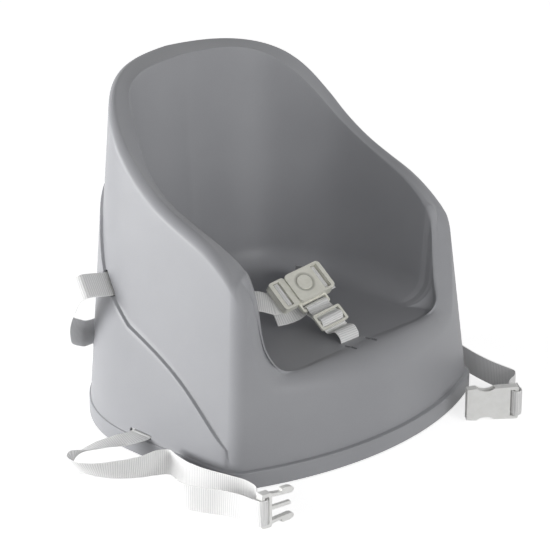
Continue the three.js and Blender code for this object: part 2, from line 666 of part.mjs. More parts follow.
// The button's return spring: one unbroken wire, 8 steps to a turn and 5 sides.
function makeButtonSpring() {
  const steps = SPRING_TURNS * 8;
  const bottom = SPRING_BOTTOM + SPRING_WIRE;
  const pitch = (SPRING_TOP - SPRING_WIRE - bottom) / SPRING_TURNS;
  const rings = [];
  const middles = [];
  for (let i = 0; i <= steps; i += 1) {
    const angle = (i / 8) * 360 * DEGREE;
    const outward = new THREE.Vector3(Math.cos(angle), Math.sin(angle), 0);
    const rise = pitch / (2 * Math.PI * SPRING_RADIUS);
    const forward = new THREE.Vector3(-Math.sin(angle), Math.cos(angle), rise);
    const up = forward.normalize().cross(outward);
    const middle = outward.clone().multiplyScalar(SPRING_RADIUS);
    middle.z = bottom + (pitch * i) / 8;
    middles.push(middle);
    const ring = [];
    for (let side = 0; side < 5; side += 1) {
      const around = (side / 5) * 360 * DEGREE;
      const point = middle.clone().addScaledVector(outward, SPRING_WIRE * Math.cos(around));
      ring.push(point.addScaledVector(up, SPRING_WIRE * Math.sin(around)).toArray());
    }
    rings.push(ring);
  }
  let least = Infinity;
  middles.forEach((a, i) => middles.slice(i + 5).forEach((b) => {
    least = Math.min(least, a.distanceTo(b) - 2 * SPRING_WIRE);
  }));
  console.log('button spring, least gap between its turns in mm:', least.toFixed(2));
  const geometry = ringsGeometry(rings, middles[0].toArray(), middles[steps].toArray());
  addPiece('button_spring', geometry, COLOURS.steel, 0.3, 1, buckle);
}

// The tongue: a forked blade inside the case, and a body outside it with a window for the left lap belt.
function makeTongue() {
  const start = CASE_LEFT - RUNNING_GAP;
  const length = start - TONGUE_END;
  const body = roundedRectangle(length, CASE_HEIGHT, 3, start - length / 2, CASE_MIDDLE_Y);
  const bladeLength = TONGUE_TIP - start + 2;
  const blade = boxAt(bladeLength, TONGUE_BLADE_WIDTH, TONGUE_THICKNESS, TONGUE_TIP - bladeLength / 2, 0, 0);
  const forkLength = 2 * (TONGUE_TIP + TONGUE_FORK_WIDTH / 2);
  const fork = boxAt(forkLength, TONGUE_FORK_WIDTH, 2 * TONGUE_THICKNESS, TONGUE_TIP, 0, 0);
  const barThickness = 2 * BELT_BAR_HALF_THICKNESS;
  const bar = boxAt(BELT_BAR, WINDOW_LENGTH + 2, barThickness, TONGUE_WINDOW_X, CASE_MIDDLE_Y, 0);
  const tongue = solidOf(plate(body, -TONGUE_HALF_THICKNESS, TONGUE_HALF_THICKNESS))
    .add(solidOf(blade))
    .subtract(solidOf(fork))
    .subtract(solidOf(beltWindow(TONGUE_WINDOW_X)))
    .add(solidOf(bar));
  addPiece('tongue', geometryOf(tongue), COLOURS.buckle, 0.45, 0, buckle);
}

// A station in the buckle's frame as a station of the seat's frame.
function buckleStation(x, y, z, across = buckleY) {
  return [...buckle.localToWorld(new THREE.Vector3(x, y, z)).toArray(), ...across.toArray()];
}

// A station whose height counts from the seat floor, as a station of the seat's frame.
function aboveFloor([x, y, height, ...across]) {
  return [x, y, FLOOR_HEIGHT + height, ...across];
}

// A lap belt: from its web stop up through the floor and across the lap, then under the frame's end, up
// through its window, over the bar, down again, and its tail under the buckle. outward is 1 at the right.
function makeWaistBelt(name, outward, frameHalfThickness, windowX, lap, tail) {
  const under = frameHalfThickness + RUNNING_GAP + WEBBING_THICKNESS / 2;
  const overBar = BELT_BAR_HALF_THICKNESS + RUNNING_GAP + WEBBING_THICKNESS / 2;
  const leg = (BELT_WINDOW + BELT_BAR) / 4;
  const frameEnd = BELT_WINDOW_FROM_END;
  const atWindow = (x, z) => buckleStation(windowX + outward * x, CASE_MIDDLE_Y, z);
  addWebbing(name, [
    ...throughStop((across, z) => [outward * (WAIST_SLOT.x - across), WAIST_SLOT.y, z, 0, 1, 0]),
    ...lap.map(aboveFloor),
    atWindow(frameEnd + 2, -under - 0.9),
    atWindow(leg + 2.2, -under - 0.5),
    atWindow(leg + 0.4, -under + 0.1),
    atWindow(leg, -under + 1.8),
    atWindow(leg, 0.6),
    atWindow(leg - 0.9, overBar + 0.1),
    atWindow(0, overBar + 0.4),
    atWindow(-leg + 0.9, overBar + 0.1),
    atWindow(-leg, 0.6),
    atWindow(-leg, -under + 1.6),
    atWindow(-leg - 0.3, -under - 0.2),
    ...tail.map(([x, y, z]) => buckleStation(x, y, z)),
  ]);
}

// The lap belts' way from the floor to the buckle, with heights above the seat floor
const LEFT_LAP = [
  [-81.6, 22, 5.5, 0, 1, 0],
  [-79, 17, 11.5, 0.15, 0.95, 0.2],
  [-71.5, 1, 18.5, 0.4, 0.8, 0.4],
  [-58.5, -19, 25, 0.5, 0.72, 0.45],
  [-44, -32, 29.5, 0.5, 0.72, 0.45],
];
const LEFT_TAIL = [[-21, -1.5, -7.4], [-17, -2, -8.4], [-11, -3, -9], [-5, -4, -10]];
const RIGHT_LAP = [
  [81.7, 22, 5, 0, 1, 0],
  [79, 18, 10, -0.1, 0.95, 0.2],
  [70.5, 0, 15.5, -0.1, 0.85, 0.4],
  [57.5, -24, 23.5, -0.05, 0.8, 0.5],
  [43, -42.5, 31.8, 0, 0.8, 0.6],
];
const RIGHT_TAIL = [
  [13, -1.5, -8.7], [8, -4, -11.5], [-2, -9, -13.5], [-14, -12, -15], [-26, -11, -16], [-36, -8.5, -16.5],
];

const slide = new THREE.Group();
slide.position.set(...SLIDE_PLACE);
buckle.add(slide);
slide.updateMatrixWorld(true);

function makeCrotchSlide() {
  const length = 2 * (SLIDE_RIM + SLIDE_WINDOW) + SLIDE_BAR;
  const outline = roundedRectangle(SLOT_LENGTH + 2 * SLIDE_RIM, length, 2, 0, 0);
  const offset = (SLIDE_BAR + SLIDE_WINDOW) / 2;
  for (const side of [1, -1]) {
    outline.holes.push(roundedRectangle(SLOT_LENGTH - 1, SLIDE_WINDOW, 0.5, 0, side * offset));
  }
  const geometry = plate(outline, -SLIDE_THICKNESS / 2, SLIDE_THICKNESS / 2);
  addPiece('crotch_slide', geometry, COLOURS.buckle, 0.45, 0, slide);
}

function slideStation(y, z) {
  return [...slide.localToWorld(new THREE.Vector3(0, y, z)).toArray(), ...buckleX.toArray()];
}

// The crotch strap: up through the floor, over the slide's lower rim and under its bar, up behind the
// bracket, round the bracket's bar, and back down over everything to the slide.
function makeCrotchStrap() {
  const { x, y } = CROTCH_SLOT;
  const clear = SLIDE_THICKNESS / 2 + RUNNING_GAP + WEBBING_THICKNESS / 2;
  const topLayer = clear + WEBBING_THICKNESS + RUNNING_GAP + 0.3;
  const under = BRACKET_BOTTOM - RUNNING_GAP - WEBBING_THICKNESS / 2;
  const over = BRACKET_TOP + RUNNING_GAP + WEBBING_THICKNESS / 2;
  const bracketStation = (height, z) => buckleStation(0, BRACKET_END + height, z, buckleX);
  addWebbing('crotch_strap', [
    ...throughStop((across, z) => [x, y + across, z, 1, 0, 0]),
    aboveFloor([0, -108.4, 5.6, 1, -0.03, 0]),
    aboveFloor([0.3, -103, 9, 1, -0.06, 0.05]),
    slideStation(-11.5, clear + 0.3),
    slideStation(-8, clear + 0.2),
    slideStation(-6.4, clear - 0.2),
    slideStation(-4, 0),
    slideStation(-1.8, -clear + 0.1),
    slideStation(0, -clear - 0.2),
    slideStation(6, -clear - 0.2),
    slideStation(11, -clear - 1),
    bracketStation(-4, under - 0.6),
    bracketStation(0, under - 0.3),
    bracketStation(STRAP_BAR, under - 0.3),
    bracketStation(STRAP_BAR + 2.3, (under + over) / 2),
    bracketStation(STRAP_BAR, over + 0.4),
    bracketStation(0, over + 0.4),
    aboveFloor([2.9, -73, 23.3, 1, -0.15, 0.17]),
    aboveFloor([2.3, -79, 23, 1, -0.15, 0.17]),
    slideStation(3, topLayer + 0.8),
    slideStation(-1.5, topLayer),
    slideStation(-7, topLayer - 0.2),
  ]);
}

// The male half of a side-release buckle: bar and window for the strap, two prongs and a middle guide.
// It points along x, lies in x and y, and starts at the bar.
function maleClip() {
  const half = CLIP_WIDTH / 2;
  const end = MALE_BODY + PRONG_LENGTH;
  const body = roundedRectangle(MALE_BODY, CLIP_WIDTH, 2, MALE_BODY / 2, 0);
  const windowX = CLIP_BAR + CLIP_WINDOW / 2;
  body.holes.push(roundedRectangle(CLIP_WINDOW, WEBBING_WIDTH + 1.5, 0.6, windowX, 0));
  const prong = new THREE.Shape();
  prong.moveTo(MALE_BODY - 1, half - 5);
  prong.lineTo(end - 9, half - 6.5);
  prong.quadraticCurveTo(end, half - 8, end, half - 3.5);
  prong.quadraticCurveTo(end - 1, half - 1, end - 6, half - 0.3);
  prong.quadraticCurveTo(end - 11, half, end - 13, half - 0.6);
  prong.lineTo(end - 13, half - 3.4);
  prong.lineTo(MALE_BODY - 1, half - 1.5);
  prong.closePath();
  const guide = roundedRectangle(PRONG_LENGTH - 2, 3.4, 1, MALE_BODY - 1 + (PRONG_LENGTH - 2) / 2, 0);
  const thin = PRONG_THICKNESS / 2;
  const upper = solidOf(plate(prong, -thin, thin));
  const lower = upper.rotate([180, 0, 0]);
  return solidOf(plate(body, -CLIP_THICKNESS / 2, CLIP_THICKNESS / 2))
    .add(upper)
    .add(lower)
    .add(solidOf(plate(guide, -thin + 0.8, thin - 0.8)));
}

// The female half: a flat sleeve, open at its mouth, with a scoop in each side and a window for the strap.
// Its mouth is at x = 0 and its strap bar at the far end.
function femaleClip() {
  const half = CLIP_WIDTH / 2;
  const scoopStart = 9;
  const scoopEnd = 27;
  const outline = new THREE.Shape();
  outline.moveTo(0, -half + 1);
  outline.lineTo(scoopStart, -half);
  outline.quadraticCurveTo((scoopStart + scoopEnd) / 2, -half + 6.5, scoopEnd, -half + 0.6);
  outline.lineTo(FEMALE_LENGTH - 2, -half);
  outline.quadraticCurveTo(FEMALE_LENGTH, -half, FEMALE_LENGTH, -half + 2);
  outline.lineTo(FEMALE_LENGTH, half - 2);
  outline.quadraticCurveTo(FEMALE_LENGTH, half, FEMALE_LENGTH - 2, half);
  outline.lineTo(scoopEnd, half - 0.6);
  outline.quadraticCurveTo((scoopStart + scoopEnd) / 2, half - 6.5, scoopStart, half);
  outline.lineTo(0, half - 1);
  outline.closePath();
  const windowX = FEMALE_LENGTH - CLIP_BAR - CLIP_WINDOW / 2;
  outline.holes.push(roundedRectangle(CLIP_WINDOW, WEBBING_WIDTH + 1.5, 0.6, windowX, 0));
  const sleeve = solidOf(plate(outline, -CLIP_THICKNESS / 2 - 0.5, CLIP_THICKNESS / 2 + 0.5));
  const hollow = PRONG_THICKNESS + 0.8;
  const scoopMiddle = (scoopStart + scoopEnd) / 2;
  const mouth = boxAt(2 * (scoopEnd + 3), CLIP_WIDTH - 5, hollow, 0, 0, 0);
  const sideOpening = boxAt(scoopEnd - scoopStart, CLIP_WIDTH + 2, hollow, scoopMiddle, 0, 0);
  return sleeve.subtract(solidOf(mouth)).subtract(solidOf(sideOpening));
}

// Stands a clip on its edge, on the floor, with its start at x and y and pointing at an angle from +X.
function addClip(name, solid, x, y, angle) {
  const mesh = addPiece(name, geometryOf(solid), COLOURS.clip, 0.45, 0);
  mesh.rotation.set(90 * DEGREE, 0, angle * DEGREE, 'ZXY');
  mesh.position.set(x, y, CLIP_MIDDLE);
}

// A station on a strap at a clip, in the clip's own frame: x along the clip, y across its thickness.
function clipStation(place, x, y, z, wz) {
  const turn = place.angle * DEGREE;
  return [
    place.x + x * Math.cos(turn) - y * Math.sin(turn),
    place.y + x * Math.sin(turn) + y * Math.cos(turn),
    z, 0, 0, wz,
  ];
}

// The tying strap through the base: its hidden stretch inside the shell, and its two free ends.
function makeBaseStrap() {
  const right = sideSlotFrame(BASE_SLOT, 1).centre;
  const edge = right.x;
  const { y, z } = BASE_SLOT;
  addWebbing('base_strap_inner', [
    [-edge, y, z, 0, 1, 0],
    [-edge * 0.7, y, z - 3, 0, 1, 0],
    [0, y, z - 6, 0, 1, 0],
    [edge * 0.7, y, z - 3, 0, 1, 0],
    [edge, y, z, 0, 1, 0],
  ]);
  const start = edge + RUNNING_GAP;
  addWebbing('base_strap_left', [
    [-start, y, z, 0, 1, 0],
    [-start - 6, y, z, 0, 1, 0],
    [-start - 20, y + 5, z - 0.5, 0, 1, 0],
    [-209, 9, 19.5, 0.1, 0.95, -0.2],
    [-228, 15.5, 15.5, 0.3, 0.8, -0.5],
    [-240, 10.5, 12.4, 0.65, 0.5, -0.6],
    [-243, -1.5, 12.2, 0.6, 0.35, -0.74],
    [-236.5, -17, 12.4, 0.4, 0.45, -0.8],
    [-224.5, -30, 12.8, 0.25, 0.35, -0.9],
    [-207, -41, WEB_EDGE, 0.1, 0.25, -0.96],
    [-190, -46, WEB_EDGE, 0, 0, -1],
    [-180.5, -53, WEB_EDGE, 0, 0, -1],
    [-183.5, -66, WEB_EDGE, 0, 0, -1],
    [-187, -85, WEB_EDGE, 0, 0, -1],
    [-186, -106, WEB_EDGE, 0, 0, -1],
    [-181, -129, WEB_EDGE, 0, 0, -1],
    [-178, -147, WEB_EDGE, 0, 0, -1],
    [-182, -163, WEB_EDGE + 1, 0, 0, -1],
    clipStation(BASE_MALE, 7, 12, CLIP_MIDDLE - 1, -1),
    clipStation(BASE_MALE, 5.4, 3, CLIP_MIDDLE, -1),
    clipStation(BASE_MALE, 5.6, -3, CLIP_MIDDLE, -1),
    clipStation(BASE_MALE, 4.8, -6, CLIP_MIDDLE, -1),
  ]);
  addWebbing('base_strap_tail', [
    clipStation(BASE_MALE, 3.4, -7, CLIP_MIDDLE, -1),
    clipStation(BASE_MALE, -2, -6, CLIP_MIDDLE, -1),
    clipStation(BASE_MALE, -4, 3, CLIP_MIDDLE - 1, -1),
    [-203.5, -166, WEB_EDGE + 1, 0, 0, -1],
    [-206.5, -147, WEB_EDGE, 0, 0, -1],
    [-215, -129, WEB_EDGE, 0, 0, -1],
    [-219.5, -117, WEB_EDGE, 0, 0, -1],
    [-220, -103.5, WEB_EDGE, 0, 0, -1],
  ]);
  addWebbing('base_strap_right', [
    [start, y, z, 0, 1, 0],
    [start + 6, y, z, 0, 1, 0],
    [start + 16, y - 2.5, z - 0.4, 0.15, 0.95, 0.2],
    [199, -16, 17.5, 0.4, 0.5, 0.7],
    [205, -35, 14, 0.2, 0.1, 0.96],
    [202, -60, WEB_EDGE, 0, 0, 1],
    [193.5, -86, WEB_EDGE, 0, 0, 1],
    [185.5, -112, WEB_EDGE, 0, 0, 1],
    [180.5, -136, WEB_EDGE, 0, 0, 1],
    [179, -155, WEB_EDGE, 0, 0, 1],
    [175.5, -169, WEB_EDGE + 1, 0, 0, 1],
    [163, -179, CLIP_MIDDLE - 1, 0, 0, 1],
    [149, -184.5, CLIP_MIDDLE, 0, 0, 1],
    [140, -190.5, CLIP_MIDDLE, 0, 0, 1],
    [135, -197.2, CLIP_MIDDLE, 0, 0, 1],
    [130.6, -202.7, CLIP_MIDDLE, 0, 0, 1],
    [131.2, -207.6, CLIP_MIDDLE, 0, 0, 1],
    [138.4, -207.2, CLIP_MIDDLE, 0, 0, 1],
    [143, -200.5, CLIP_MIDDLE, 0, 0, 1],
    [149, -193, CLIP_MIDDLE, 0, 0, 1],
  ]);
  addClip('base_buckle_male', maleClip(), BASE_MALE.x, BASE_MALE.y, BASE_MALE.angle);
  addClip('base_buckle_female', femaleClip(), BASE_FEMALE.x, BASE_FEMALE.y, BASE_FEMALE.angle);
}

// A point midway between the outer wall and the bucket's wall, inside the shell.
function betweenWalls(u, z) {
  const [outerX, outerY] = wallPoint(u, z, 0);
  const [edgeX, edgeY, edgeZ] = smoothRow(RIM_EDGE, u);
  const toMiddle = new THREE.Vector2(-edgeX, FLOOR_MIDDLE_Y - edgeY).normalize();
  const lean = (edgeZ - z) * Math.tan(WALL_DRAFT * DEGREE);
  return [(outerX + edgeX + toMiddle.x * lean) / 2, (outerY + edgeY + toMiddle.y * lean) / 2, z];
}

// The tying strap through the backrest: hidden between the walls, then free, round behind the shell to the
// floor.
function makeBackStrap() {
  const { centre, normal, along } = sideSlotFrame(BACK_SLOT, 1);
  const slotWeb = along.toArray();
  const upright = [-0.13, 0.48, 0.87];
  const through = (distance, across) => [...centre.clone().addScaledVector(normal, distance).toArray(), ...across];
  const mirror = (station) => station.map((value, i) => (i % 3 === 0 ? -value : value));
  const rightHalf = [through(0, slotWeb), through(-SKIN - 1.5, slotWeb), through(-SKIN - 7, upright)];
  for (const u of [3.7, 4, 4.3, 4.65]) rightHalf.push([...betweenWalls(u, BACK_SLOT.z), 0, 0, 1]);
  const middle = [...betweenWalls(BACK_CENTRE, BACK_SLOT.z), 0, 0, 1];
  const leftHalf = rightHalf.map(([x, y, z, wx, wy, wz]) => [-x, y, z, -wx, wy, wz]).reverse();
  addWebbing('back_strap_inner', [...rightHalf, middle, ...leftHalf]);

  const hug = (u, z, off) => {
    const [x, y] = wallPoint(u, z, PANEL_PROUD + off);
    return [x, y, z, 0, 0, 1];
  };
  const freeEnd = [
    through(RUNNING_GAP, slotWeb),
    through(3, slotWeb),
    through(9, upright),
    [160, 72, 145, 0.2, 0.45, 0.85],
    [158, 88, 135, 0.1, 0.2, 0.97],
    [150, 102, 118, 0, 0.1, 1],
    [138, 112, 102, 0, 0, 1],
    hug(4.1, 88, 7),
    hug(4.3, 72, 8),
    hug(4.5, 54, 10),
  ];
  const bar = -BACK_MALE.x;
  const toMale = [
    [60, 174, 38, 0, 0, 1],
    [45, 180, 24, 0, 0, 1],
    [bar + 8, 183.5, CLIP_MIDDLE, 0, 0, 1],
    [bar - 1.5, 185.2, CLIP_MIDDLE, 0, 0, 1],
    [bar - 5.4, 189, CLIP_MIDDLE, 0, 0, 1],
    [bar - 5.8, 197, CLIP_MIDDLE, 0, 0, 1],
    [bar - 3.5, 200.3, CLIP_MIDDLE, 0, 0, 1],
    [bar + 1.6, 199.6, CLIP_MIDDLE, 0, 0, 1],
    [bar + 3.5, 194, CLIP_MIDDLE, 0, 0, 1],
  ];
  const end = BACK_FEMALE.x + FEMALE_LENGTH;
  const toFemale = [
    [end + 16, 166, 42, 0, 0, 1],
    [end + 12, 175, 27, 0, 0, 1],
    [end + 6, 181, 19, 0, 0, 1],
    [end - 1, 184.3, CLIP_MIDDLE, 0, 0, 1],
    [end - 5.4, 189, CLIP_MIDDLE, 0, 0, 1],
    [end - 5.8, 198, CLIP_MIDDLE, 0, 0, 1],
    [end - 3.5, 201, CLIP_MIDDLE, 0, 0, 1],
    [end + 1.8, 200.3, CLIP_MIDDLE, 0, 0, 1],
    [end + 3.6, 194.5, CLIP_MIDDLE, 0, 0, 1],
  ];
  addWebbing('back_strap_right', [...freeEnd.slice(0, -1), ...toFemale]);
  addWebbing('back_strap_left', [...freeEnd, ...toMale].map(mirror));
  addClip('back_buckle_male', maleClip(), BACK_MALE.x, BACK_MALE.y, BACK_MALE.angle);
  addClip('back_buckle_female', femaleClip(), BACK_FEMALE.x, BACK_FEMALE.y, BACK_FEMALE.angle);
}

makeShell();
makeFeet();
makeWebStops();
makeBuckleCase();
makeButton();
makeButtonSpring();
makeTongue();
makeWaistBelt('waist_belt_left', -1, TONGUE_HALF_THICKNESS, TONGUE_WINDOW_X, LEFT_LAP, LEFT_TAIL);
makeWaistBelt('waist_belt_right', 1, CASE_HALF_THICKNESS, CASE_WINDOW_X, RIGHT_LAP, RIGHT_TAIL);
makeCrotchSlide();
makeCrotchStrap();
makeBaseStrap();
makeBackStrap();

export default seat;
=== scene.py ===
# %% [markdown]
# # A chair booster seat
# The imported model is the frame: it gives every body, joint and rigid node in its place. This script adds the
# camera, the webbing, a finer shell, the materials and the light. Lengths in the tables are in millimetres,
# as on a drawing, and are turned into metres when a mesh is made.

# %% Start
import json
from types import SimpleNamespace

import bpy
import numpy as np
from mathutils import Vector
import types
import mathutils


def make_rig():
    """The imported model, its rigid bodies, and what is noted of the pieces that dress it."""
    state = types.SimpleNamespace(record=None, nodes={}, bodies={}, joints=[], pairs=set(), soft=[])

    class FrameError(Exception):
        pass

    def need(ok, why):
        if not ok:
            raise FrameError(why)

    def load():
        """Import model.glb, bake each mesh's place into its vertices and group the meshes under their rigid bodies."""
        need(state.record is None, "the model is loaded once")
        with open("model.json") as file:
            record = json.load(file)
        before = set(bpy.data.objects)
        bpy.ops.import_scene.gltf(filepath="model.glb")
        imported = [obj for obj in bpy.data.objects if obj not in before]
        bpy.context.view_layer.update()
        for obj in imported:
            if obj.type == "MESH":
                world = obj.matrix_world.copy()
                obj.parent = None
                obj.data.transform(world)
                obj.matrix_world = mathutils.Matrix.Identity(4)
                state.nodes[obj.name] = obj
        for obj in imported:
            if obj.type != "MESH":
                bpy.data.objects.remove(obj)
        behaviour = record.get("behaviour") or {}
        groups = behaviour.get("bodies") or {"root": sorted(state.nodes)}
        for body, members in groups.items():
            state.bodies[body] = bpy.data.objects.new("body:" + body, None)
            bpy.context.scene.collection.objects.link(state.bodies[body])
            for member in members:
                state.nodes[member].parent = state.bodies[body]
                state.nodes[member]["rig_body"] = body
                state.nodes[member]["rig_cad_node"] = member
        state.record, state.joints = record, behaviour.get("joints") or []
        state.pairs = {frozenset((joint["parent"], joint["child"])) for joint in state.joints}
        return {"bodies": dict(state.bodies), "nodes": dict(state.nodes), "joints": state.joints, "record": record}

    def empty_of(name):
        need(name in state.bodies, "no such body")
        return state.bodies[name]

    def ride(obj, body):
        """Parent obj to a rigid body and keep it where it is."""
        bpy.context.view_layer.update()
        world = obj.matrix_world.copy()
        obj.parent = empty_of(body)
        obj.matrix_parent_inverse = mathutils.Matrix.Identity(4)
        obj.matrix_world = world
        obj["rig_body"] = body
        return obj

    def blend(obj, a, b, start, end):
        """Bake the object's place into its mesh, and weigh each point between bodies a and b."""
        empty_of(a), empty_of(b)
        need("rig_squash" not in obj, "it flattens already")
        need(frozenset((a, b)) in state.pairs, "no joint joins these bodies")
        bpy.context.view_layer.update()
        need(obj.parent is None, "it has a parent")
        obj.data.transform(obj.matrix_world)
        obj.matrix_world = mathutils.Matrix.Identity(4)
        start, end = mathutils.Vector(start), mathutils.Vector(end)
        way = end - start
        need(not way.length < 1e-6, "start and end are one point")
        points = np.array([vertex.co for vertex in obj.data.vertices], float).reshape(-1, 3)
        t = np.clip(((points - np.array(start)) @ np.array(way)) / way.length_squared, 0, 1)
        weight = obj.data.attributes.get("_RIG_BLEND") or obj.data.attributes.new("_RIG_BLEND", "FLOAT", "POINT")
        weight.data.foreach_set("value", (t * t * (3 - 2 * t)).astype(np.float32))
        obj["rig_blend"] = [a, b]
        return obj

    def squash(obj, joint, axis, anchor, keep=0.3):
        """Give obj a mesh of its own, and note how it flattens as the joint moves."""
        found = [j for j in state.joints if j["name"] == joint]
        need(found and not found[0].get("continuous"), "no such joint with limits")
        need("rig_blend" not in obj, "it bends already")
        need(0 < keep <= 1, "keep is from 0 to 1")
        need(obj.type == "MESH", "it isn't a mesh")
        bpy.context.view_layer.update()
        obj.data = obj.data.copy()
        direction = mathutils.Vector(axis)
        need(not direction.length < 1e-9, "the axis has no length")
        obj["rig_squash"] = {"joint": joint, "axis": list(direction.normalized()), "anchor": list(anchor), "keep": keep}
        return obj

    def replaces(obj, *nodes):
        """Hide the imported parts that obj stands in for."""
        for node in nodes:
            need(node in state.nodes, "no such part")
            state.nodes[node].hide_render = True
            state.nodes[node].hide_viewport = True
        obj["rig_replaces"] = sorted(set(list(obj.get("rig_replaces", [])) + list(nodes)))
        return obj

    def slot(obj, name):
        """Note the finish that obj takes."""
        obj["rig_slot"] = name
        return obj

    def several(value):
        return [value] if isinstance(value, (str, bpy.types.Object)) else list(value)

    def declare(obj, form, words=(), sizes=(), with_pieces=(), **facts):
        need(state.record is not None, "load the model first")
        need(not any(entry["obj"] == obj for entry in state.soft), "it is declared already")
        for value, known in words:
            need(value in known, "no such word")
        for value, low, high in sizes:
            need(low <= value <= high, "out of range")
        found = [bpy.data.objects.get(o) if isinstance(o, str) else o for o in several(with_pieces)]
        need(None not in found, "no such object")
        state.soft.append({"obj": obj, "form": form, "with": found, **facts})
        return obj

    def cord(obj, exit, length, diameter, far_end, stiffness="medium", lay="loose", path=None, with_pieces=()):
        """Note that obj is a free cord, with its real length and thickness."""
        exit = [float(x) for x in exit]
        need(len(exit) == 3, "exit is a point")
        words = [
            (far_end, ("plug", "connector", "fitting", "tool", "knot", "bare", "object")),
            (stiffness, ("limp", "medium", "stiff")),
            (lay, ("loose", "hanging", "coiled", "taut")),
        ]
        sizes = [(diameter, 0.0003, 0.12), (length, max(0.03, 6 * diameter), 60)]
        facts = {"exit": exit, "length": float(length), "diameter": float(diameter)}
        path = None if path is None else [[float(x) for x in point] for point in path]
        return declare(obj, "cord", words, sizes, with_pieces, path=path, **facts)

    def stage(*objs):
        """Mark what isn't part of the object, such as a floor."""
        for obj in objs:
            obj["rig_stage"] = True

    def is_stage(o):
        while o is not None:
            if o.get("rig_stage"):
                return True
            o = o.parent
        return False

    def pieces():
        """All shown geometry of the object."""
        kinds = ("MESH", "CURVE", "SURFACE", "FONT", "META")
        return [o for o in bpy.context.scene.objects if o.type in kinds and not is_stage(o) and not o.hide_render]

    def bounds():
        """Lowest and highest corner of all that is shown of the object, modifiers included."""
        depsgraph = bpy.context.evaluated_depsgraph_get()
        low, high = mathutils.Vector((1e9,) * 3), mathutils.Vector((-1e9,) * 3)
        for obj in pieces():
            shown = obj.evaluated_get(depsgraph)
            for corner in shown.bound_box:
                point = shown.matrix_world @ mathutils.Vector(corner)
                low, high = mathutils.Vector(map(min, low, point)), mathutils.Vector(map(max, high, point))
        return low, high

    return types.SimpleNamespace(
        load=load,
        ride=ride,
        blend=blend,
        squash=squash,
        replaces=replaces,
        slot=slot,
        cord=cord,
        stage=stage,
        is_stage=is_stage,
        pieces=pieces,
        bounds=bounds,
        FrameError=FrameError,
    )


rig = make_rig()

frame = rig.load()
cad_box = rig.bounds()
MM = 0.001
scene = bpy.context.scene
print("nodes in the frame:", len(frame["nodes"]))

# %% [markdown]
# The camera looks at the middle of the seat from 2.3 m away, 46.6 degrees to the left of its front and
# 21 degrees above the floor. A long lens from far away keeps the verticals nearly parallel, as in a studio.

# %% Camera
CAMERA_TURN, CAMERA_RISE = np.radians([-46.57, 20.99])
CAMERA_DISTANCE, CAMERA_TARGET = 2.3, np.array([0.0075, -0.0075, 0.130])
SENSOR, FOCAL_IN_FRAMES = 36.0, 2411 / 550


def placed(name, data):
    """A new object with this data, in the scene."""
    made = bpy.data.objects.new(name, data)
    scene.collection.objects.link(made)
    return made


level = np.cos(CAMERA_RISE)
toward_camera = np.array([np.sin(CAMERA_TURN) * level, -np.cos(CAMERA_TURN) * level, np.sin(CAMERA_RISE)])
camera_data = bpy.data.cameras.new("camera")
camera_data.sensor_width = SENSOR
camera_data.lens = FOCAL_IN_FRAMES * SENSOR
camera = placed("camera", camera_data)
camera.location = CAMERA_TARGET + CAMERA_DISTANCE * toward_camera
camera.rotation_euler = Vector(toward_camera).to_track_quat("Z", "Y").to_euler()
scene.camera = camera
scene.view_settings.view_transform = "Standard"
print("lens in mm:", round(camera_data.lens, 1))

# %% [markdown]
# Every new surface is a grid of points: rows along it, columns round it. One function turns it into a mesh.
# It closes the columns into rings, and each end with a fan to a middle point. The sum of the signed volumes
# between the triangles and the origin is negative when the faces look inwards, and then they are turned
# round. Extra numbers, such as the distance along a strap, go into attributes that the materials read.


# %% Grid to mesh
def grid_object(name, rings, first_pole, last_pole, numbers=None):
    """A closed surface from rings[r, c] = point c of ring r. Quads join neighbouring rings and columns, and
    each end ring is joined to its pole by triangles. numbers maps an attribute to its values on the grid."""
    rings = np.asarray(rings, float)
    count_rings, count = rings.shape[:2]
    points = np.concatenate([rings.reshape(-1, 3), [first_pole], [last_pole]]) * MM
    row, column = np.arange(count_rings - 1)[:, None] * count, np.arange(count)
    following = (column + 1) % count
    a, b = row + column, row + following
    quads = np.stack([a, b, b + count, a + count], -1).reshape(-1, 4)
    first = np.stack([np.full(count, count_rings * count), following, column], -1)
    last = np.stack([np.full(count, count_rings * count + 1), a[-1] + count, b[-1] + count], -1)
    corners = points[np.concatenate([quads[:, [0, 1, 2]], quads[:, [0, 2, 3]], first, last])]
    if (corners[:, 0] * np.cross(corners[:, 1], corners[:, 2])).sum() < 0:
        quads, first, last = quads[:, ::-1], first[:, ::-1], last[:, ::-1]
    mesh = bpy.data.meshes.new(name)
    mesh.from_pydata(points.tolist(), [], quads.tolist() + first.tolist() + last.tolist())
    mesh.shade_smooth()
    for key, values in (numbers or {}).items():
        values = np.asarray(values, float).reshape(count_rings, count)
        ends = [values[0].mean(), values[-1].mean()]
        attribute = mesh.attributes.new(key, "FLOAT", "POINT")
        attribute.data.foreach_set("value", np.concatenate([values.ravel(), ends]).astype(np.float32))
    mesh.update()
    return placed(name, mesh)


# %% [markdown]
# Webbing is a ribbon that follows a smooth curve. Each station of a strap is a point of its middle line and
# the direction across the ribbon there. A Catmull-Rom curve goes through all the points without overshooting
# at tight folds. The section is a flat oval: thin selvages and a slightly thicker middle.

# %% Webbing
WEBBING_WIDTH, WEBBING_THICKNESS = 25.0, 1.3
STEPS_PER_STATION, SECTION_POINTS = 14, 24


def between(t, start, end, first, second):
    """From first, where t is start, straight to second, where t is end."""
    return (end - t) / (end - start) * first + (t - start) / (end - start) * second


